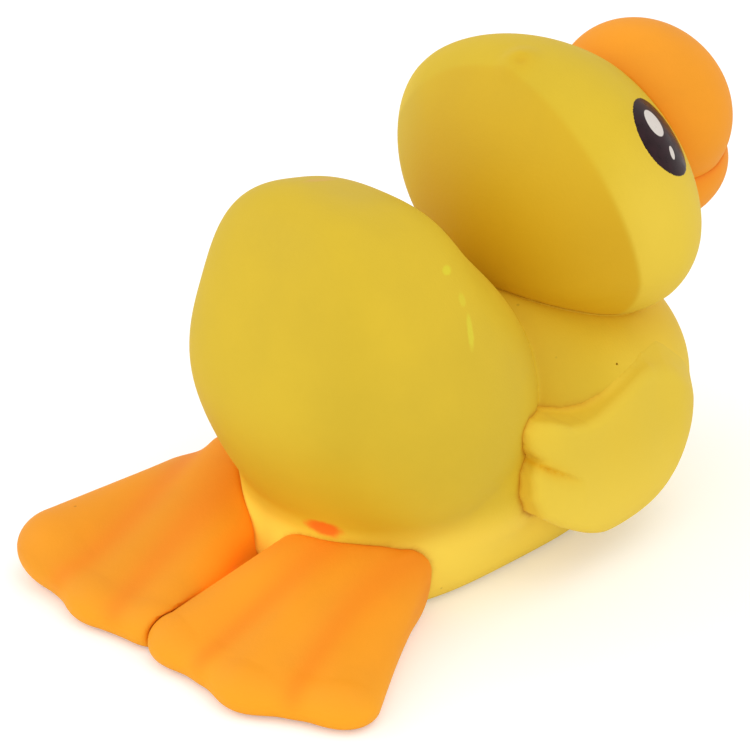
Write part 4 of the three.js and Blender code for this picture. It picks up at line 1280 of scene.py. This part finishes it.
class DISPENSER_OT_vent_dial(bpy.types.Operator):
    """Builds the vent dial with its windows and finger tab"""

    bl_idname = "dispenser.vent_dial_skin"
    bl_label = "Vent dial"

    def execute(self, context):
        outline = [(radius, DIAL_BOTTOM) for radius in (PIVOT_HOLE, DIAL_RADIUS)]
        outline += [(radius, DIAL_TOP) for radius in (DIAL_RADIUS, PIVOT_HOLE)]
        obj = lathe("vent_dial_skin", outline, ease=0.3)
        for angle in QUARTERS:
            cut(obj, window(angle, DIAL_BOTTOM - 1, DIAL_TOP + 1))
        inner, outer = DIAL_RADIUS * 0.35, DIAL_RADIUS * 0.9
        cut(obj, slab(2.4, inner, outer, 45, DIAL_BOTTOM - 1.1, DIAL_BOTTOM + 0.5), "UNION")
        finish_piece(obj, "white_plastic", ["vent_dial"], "dial", sharp=35)
        return {"FINISHED"}


class DISPENSER_OT_screws(bpy.types.Operator):
    """Builds the pivot screw and the ring of four cup screws"""

    bl_idname = "dispenser.screws"
    bl_label = "Screws"

    def execute(self, context):
        pivot = screw_shape("pivot_screw_skin", PIVOT_RADIUS, 3.2, PIVOT_TOP, 0.0)
        finish_piece(pivot, "screw_steel", ["pivot_screw"], "basket", sharp=35)
        one = at_origin(screw_shape("cup_screws_skin", 1.25, 2.5, 17.3, SCREW_RING))
        four = ring(one, 4, FINISHES["screw_steel"](), 45)
        finish_piece(four, "screw_steel", [f"cup_screw_{k}" for k in (1, 2, 3, 4)], sharp=35)
        return {"FINISHED"}


class DISPENSER_OT_inner_fittings(bpy.types.Operator):
    """Gives the neck ring, gasket, hose and ballast their finishes"""

    bl_idname = "dispenser.inner_fittings"
    bl_label = "Inner fittings"

    def execute(self, context):
        for node, finish in (
            ("neck_ring", "white_plastic"),
            ("cup_gasket", "black_rubber"),
            ("vent_hose", "clear_hose"),
            ("front_ballast", "cast_zinc"),
            ("rear_ballast", "cast_zinc"),
        ):
            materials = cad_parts[node].data.materials
            materials.clear()
            materials.append(FINISHES[finish]())
        return {"FINISHED"}


def aimed(name, data, place, target):
    """A lamp or a camera that stands at a place and looks at a target, both in metres."""
    obj = link(name, data)
    obj.location = place
    obj.rotation_euler = (Vector(target) - obj.location).to_track_quat("-Z", "Y").to_euler()
    return obj


class DISPENSER_OT_stage(bpy.types.Operator):
    """Makes the floor, the soft light and the camera"""

    bl_idname = "dispenser.stage"
    bl_label = "Stage"

    def execute(self, context):
        scene = context.scene
        shape = bmesh.new()
        bmesh.ops.create_grid(shape, x_segments=8, y_segments=8, size=6)
        floor = from_shape("studio_floor", shape)
        floor.data.materials.append(plain_floor())

        scene.world = bpy.data.worlds.new("Studio")
        scene.world.use_nodes = True
        tree = scene.world.node_tree
        seen = tree.nodes.new("ShaderNodeLightPath").outputs["Is Camera Ray"]
        strength = add(tree, "ShaderNodeMix", {0: seen, 2: 0.82, 3: 1.0}, data_type="FLOAT").outputs[0]
        fill(tree, tree.nodes["Background"], {"Color": (1, 1, 1), "Strength": strength})

        for name, place, size, power in (
            ("key", (0.5, 0.1, 1.6), 1.4, 4.0),
            ("side", (1.3, -0.1, 0.3), 1.0, 2.2),
            ("fill", (0.2, -1.5, 0.5), 1.4, 3.0),
            ("left", (-1.1, -0.9, 0.9), 1.2, 4.0),
        ):
            lamp = bpy.data.lights.new(name, "AREA")
            lamp.shape, lamp.size, lamp.energy = "DISK", size, power
            aimed(name, lamp, place, (0, 0, 0.07))

        lens = bpy.data.cameras.new("camera")
        lens.lens, lens.sensor_width, lens.clip_end = 124.36, 36, 50
        scene.camera = aimed("camera", lens, to_frame((598.46, -473.06, 510)), to_frame((-15, 99, 64)))
        scene.view_settings.view_transform = "Standard"
        return {"FINISHED"}


class DISPENSER_PT_panel(bpy.types.Panel):
    """Lists the pieces of the dispenser"""

    bl_idname = "DISPENSER_PT_panel"
    bl_label = "Dispenser"
    bl_space_type = "VIEW_3D"
    bl_region_type = "UI"
    bl_category = "Dispenser"

    def draw(self, context):
        for operator in OPERATORS:
            self.layout.operator(operator.bl_idname)
        for group in (context.scene.dispenser_sizes, context.scene.dispenser_colours):
            column = self.layout.column()
            for name in group.__annotations__:
                column.prop(group, name)


OPERATORS = (
    DISPENSER_OT_body_skin, DISPENSER_OT_head_skin, DISPENSER_OT_bills, DISPENSER_OT_eyes, DISPENSER_OT_wings,
    DISPENSER_OT_feet, DISPENSER_OT_neck_flash, DISPENSER_OT_cup, DISPENSER_OT_basket, DISPENSER_OT_lock_cap,
    DISPENSER_OT_vent_dial, DISPENSER_OT_screws, DISPENSER_OT_inner_fittings, DISPENSER_OT_stage,
)
CLASSES = (DispenserSizes, DispenserColours, *OPERATORS, DISPENSER_PT_panel)


def register():
    for item in CLASSES:
        bpy.utils.register_class(item)
    bpy.types.Scene.dispenser_sizes = bpy.props.PointerProperty(type=DispenserSizes)
    bpy.types.Scene.dispenser_colours = bpy.props.PointerProperty(type=DispenserColours)


def unregister():
    del bpy.types.Scene.dispenser_sizes
    del bpy.types.Scene.dispenser_colours
    for item in reversed(CLASSES):
        bpy.utils.unregister_class(item)


def main():
    register()
    bpy.ops.dispenser.stage()
    bpy.ops.dispenser.body_skin()
    bpy.ops.dispenser.head_skin()
    bpy.ops.dispenser.bills()
    bpy.ops.dispenser.eyes()
    bpy.ops.dispenser.wings()
    bpy.ops.dispenser.feet()
    bpy.ops.dispenser.neck_flash()
    bpy.ops.dispenser.cup()
    bpy.ops.dispenser.basket()
    bpy.ops.dispenser.lock_cap_skin()
    bpy.ops.dispenser.vent_dial_skin()
    bpy.ops.dispenser.screws()
    bpy.ops.dispenser.inner_fittings()


if __name__ == "__main__":
    main()
